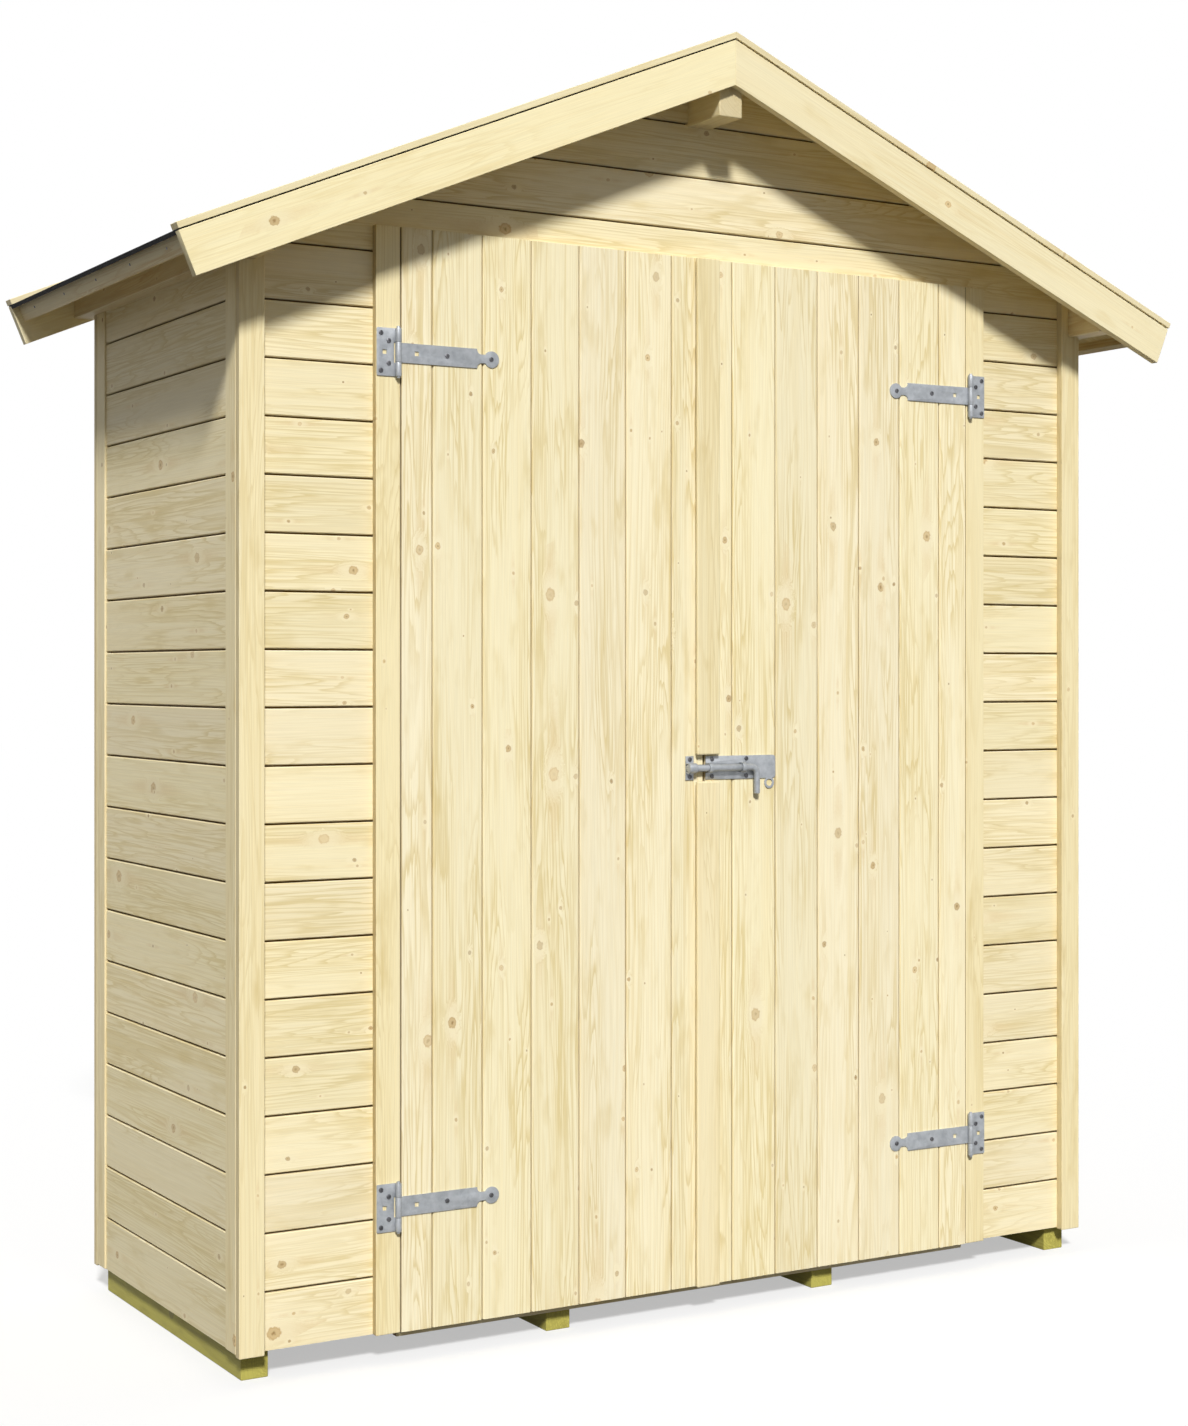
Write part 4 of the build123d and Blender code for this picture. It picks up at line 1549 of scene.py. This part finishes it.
    def _screws(self) -> Iterator[tuple[str, Body, list[Vector]]]:
        """Where the screws are driven.

        Yields:
            A piece's name, its body and the places of its screws.
        """
        joints = {one["name"]: Vector(one["pos_m"]) for one in frame["joints"] if "pos_m" in one}
        levels = self._levels()
        plate_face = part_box("hinge_plates")[1].y - self.sheet
        strap_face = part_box("left_door_boards")[0].y - self.sheet
        for side, body in (("left", Body.LEFT_DOOR), ("right", Body.RIGHT_DOOR)):
            axis = joints[f"{side}_door_hinge"]
            inward = -math.copysign(1.0, axis.x)
            plate = [
                Vector((axis.x - inward * out, plate_face, level + rise))
                for level in levels
                for out, rise in self.plate_holes
            ]
            yield f"{side}_plate_screws", Body.SHED, plate
            strap = [
                Vector((axis.x + inward * reach, strap_face, level))
                for level in levels
                for reach in self.strap_holes
            ]
            yield f"{side}_strap_screws", body, strap
        low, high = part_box("bolt_keeper")
        level = (low.z + high.z) / 2
        middle = (low.x + high.x) / 2
        keeper = [Vector((middle, strap_face, level + rise)) for rise in self.bolt_rises]
        yield "keeper_screws", Body.LEFT_DOOR, keeper
        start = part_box("bolt_plate")[0].x
        plate = [
            Vector((start + reach, strap_face, level + rise))
            for reach in self.bolt_holes
            for rise in self.bolt_rises
        ]
        yield "bolt_plate_screws", Body.RIGHT_DOOR, plate

    @staticmethod
    def _levels() -> list[float]:
        """Heights of the middles of the lower and the upper hinges."""
        low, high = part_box("hinge_plates")
        mesh = frame["nodes"]["hinge_plates"].data
        middle = (low.z + high.z) / 2
        lower = [v.co.z for v in mesh.vertices if v.co.z < middle]
        upper = [v.co.z for v in mesh.vertices if v.co.z > middle]
        return [(min(lower) + max(lower)) / 2, (min(upper) + max(upper)) / 2]


@dataclass
class RoofFelt:
    """One sheet of felt over the ridge, nailed along the eaves."""

    dresser: Dresser

    def build(self) -> None:
        """Dress the felt."""
        piece = Bench.from_node("roof_felt", "felt_sheet")
        self.dresser.hand_over(piece, "felt", Body.SHED, "roofing_felt", "roof_felt")


@dataclass(frozen=True)
class Studio:
    """Camera at the photo's viewing angle, a soft key from the front left and a pale floor."""

    place: tuple[float, float, float] = (-2.2004, -3.6865, 1.087)
    yaw: float = math.radians(30.534)
    sensor_mm: float = 36.0
    focal_px: float = 2353.3
    frame_px: float = 1426.0
    drop_px: float = 39.0
    key_travel: tuple[float, float, float] = (0.456, 1.0, -0.882)
    key_strength: float = 3.48
    key_angle: float = math.radians(8.0)
    sky: float = 0.27
    fill: float = 0.42
    fill_from: tuple[float, float, float] = (0.6, 0.8, 0.0)
    bounce: float = 0.10
    white: float = 1.0
    shadow_depth: float = 0.5
    floor_size: float = 60.0

    def build(self) -> None:
        """Set the camera, the light and the floor."""
        self._camera()
        self._light()
        self._floor()
        bpy.context.scene.view_settings.view_transform = "Standard"

    def _camera(self) -> None:
        """Make the level camera with its vertical shift."""
        data = bpy.data.cameras.new("camera")
        data.sensor_width = self.sensor_mm
        data.lens = self.focal_px / self.frame_px * data.sensor_width
        data.shift_y = -self.drop_px / self.frame_px
        camera = bpy.data.objects.new("camera", data)
        camera.location = self.place
        camera.rotation_euler = (math.pi / 2, 0, -self.yaw)
        bpy.context.scene.collection.objects.link(camera)
        bpy.context.scene.camera = camera

    def _light(self) -> None:
        """Make the key lamp and the sky, which fills in from behind."""
        data = bpy.data.lights.new("key", "SUN")
        data.energy = self.key_strength
        data.angle = self.key_angle
        key = bpy.data.objects.new("key", data)
        key.rotation_mode = "QUATERNION"
        key.rotation_quaternion = Vector(self.key_travel).to_track_quat("-Z", "Y")
        bpy.context.scene.collection.objects.link(key)
        world = bpy.data.worlds.new("studio")
        bpy.context.scene.world = world
        world.use_nodes = True
        w = Wiring(world.node_tree)
        background = world.node_tree.nodes["Background"]
        seen = self._seen(w)
        way = w.node("ShaderNodeTexCoord").outputs["Generated"]
        behind = w.vector("DOT_PRODUCT", way, self.fill_from).outputs["Value"]
        level = w.math("MULTIPLY_ADD", w.math("MAXIMUM", behind, 0.0), self.fill, self.sky)
        sky = w.combine(level, level, level)
        w.feed(background.inputs["Color"], w.mix(seen, sky, (self.white, self.white, self.white, 1.0)))

    @staticmethod
    def _seen(w: Wiring) -> Socket:
        """Whether a ray comes straight from the camera, or through gloss or glass."""
        path = w.node("ShaderNodeLightPath").outputs
        seen = w.math("MAXIMUM", path["Is Camera Ray"], path["Is Glossy Ray"])
        return w.math("MAXIMUM", seen, path["Is Transmission Ray"])

    def _lit(self) -> float:
        """How bright the seen floor is where the key and the sky reach it."""
        fall = -Vector(self.key_travel).normalized().z
        filled = self.fill * 2 / (3 * math.pi)
        return self.shadow_depth * (self.key_strength * fall / math.pi + self.sky + filled)

    def _floor(self) -> None:
        """Make the pale floor, white where it is lit and grey in the object's shadow."""
        Bench.clear()
        bpy.ops.mesh.primitive_plane_add(size=self.floor_size)
        floor = bpy.context.object
        floor.name = "studio_floor"
        made, w, shader = principled("studio_floor")
        seen = self._seen(w)
        grey = w.math("MULTIPLY_ADD", seen, self.shadow_depth - self.bounce, self.bounce)
        w.feed(shader["Base Color"], w.combine(grey, grey, grey))
        shader["Roughness"].default_value = 1.0
        shader["Specular IOR Level"].default_value = 0.0
        shader["Emission Color"].default_value = (1.0, 1.0, 1.0, 1.0)
        w.feed(shader["Emission Strength"], w.math("MULTIPLY", seen, self.white - self._lit()))
        floor.data.materials.append(made)


# In each wood finish, joint sets how strongly painted shade darkens the edges and joint walls
TRIM = WoodFinish(
    "trim_boards",
    pale=(0.95, 0.83, 0.525, 1),
    warm=(0.925, 0.77, 0.435, 1),
    late=(0.73, 0.57, 0.255, 1),
    figure=0.46,
    knots=0.35,
    knot_radius=0.0062,
    joint=0.5,
)
FINISHES = (
    TRIM,
    # The jamb trims: trim boards with stronger painted shade on their edges and sides
    replace(TRIM, name="jamb_boards_painted_shade", joint=0.74),
    WoodFinish(
        "cladding",
        pale=(0.97, 0.86, 0.575, 1),
        warm=(0.94, 0.80, 0.48, 1),
        late=(0.765, 0.62, 0.30, 1),
        figure=0.78,
    ),
    WoodFinish(
        "door_boards",
        pale=(0.975, 0.88, 0.61, 1),
        warm=(0.945, 0.815, 0.505, 1),
        late=(0.755, 0.605, 0.285, 1),
        figure=0.80,
        knots=0.72,
        joint=0.72,
    ),
    WoodFinish(
        "barge_boards",
        pale=(0.955, 0.85, 0.55, 1),
        warm=(0.935, 0.795, 0.475, 1),
        late=(0.83, 0.685, 0.365, 1),
        figure=0.55,
        knots=0.30,
        knot_radius=0.0080,
        joint=0.35,
    ),
    WoodFinish(
        "frame_timber",
        pale=(0.89, 0.76, 0.49, 1),
        warm=(0.84, 0.67, 0.385, 1),
        late=(0.73, 0.54, 0.27, 1),
        joint=0.3,
    ),
    WoodFinish(
        "treated_timber",
        pale=(0.58, 0.525, 0.12, 1),
        warm=(0.50, 0.445, 0.095, 1),
        late=(0.33, 0.28, 0.06, 1),
        knot=(0.22, 0.15, 0.045, 1),
        figure=0.6,
        joint=0.0,
        bump=0.6,
    ),
)
ZINC = MetalFinish(
    "zinc",
    bright=(0.45, 0.47, 0.495, 1),
    dull=(0.31, 0.33, 0.35, 1),
    roughness=0.52,
    metallic=0.45,
)
SCREWS = MetalFinish(
    "screws",
    bright=(0.16, 0.16, 0.17, 1),
    dull=(0.07, 0.07, 0.075, 1),
    roughness=0.45,
    metallic=0.8,
)
FELT = FeltFinish("felt", bitumen=(0.008, 0.008, 0.009, 1), grit=(0.055, 0.055, 0.058, 1))


def main() -> None:
    """Build every piece in order."""
    logging.basicConfig(level=logging.INFO, format="%(name)s: %(message)s")
    Bench.clear()
    figure = SpruceFigure()
    materials = {finish.name: finish.material(figure) for finish in FINISHES}
    for finish in (ZINC, SCREWS, FELT):
        materials[finish.name] = finish.material()
    dresser = Dresser(materials)
    grain = Grain(seed=20)
    roof = Roofline()
    Cladding(dresser, grain, roof).build()
    DoorLeaf(dresser, grain, "left", Body.LEFT_DOOR, first_width=0.0545).build()
    DoorLeaf(dresser, grain, "right", Body.RIGHT_DOOR, first_width=0.0561).build()
    FloorBoards(dresser, grain).build()
    RoofBoards(dresser, grain, roof).build()
    Timbers(dresser, grain).build()
    RoofFelt(dresser).build()
    Ironmongery(dresser).build()
    Studio().build()


if __name__ == "__main__":
    main()
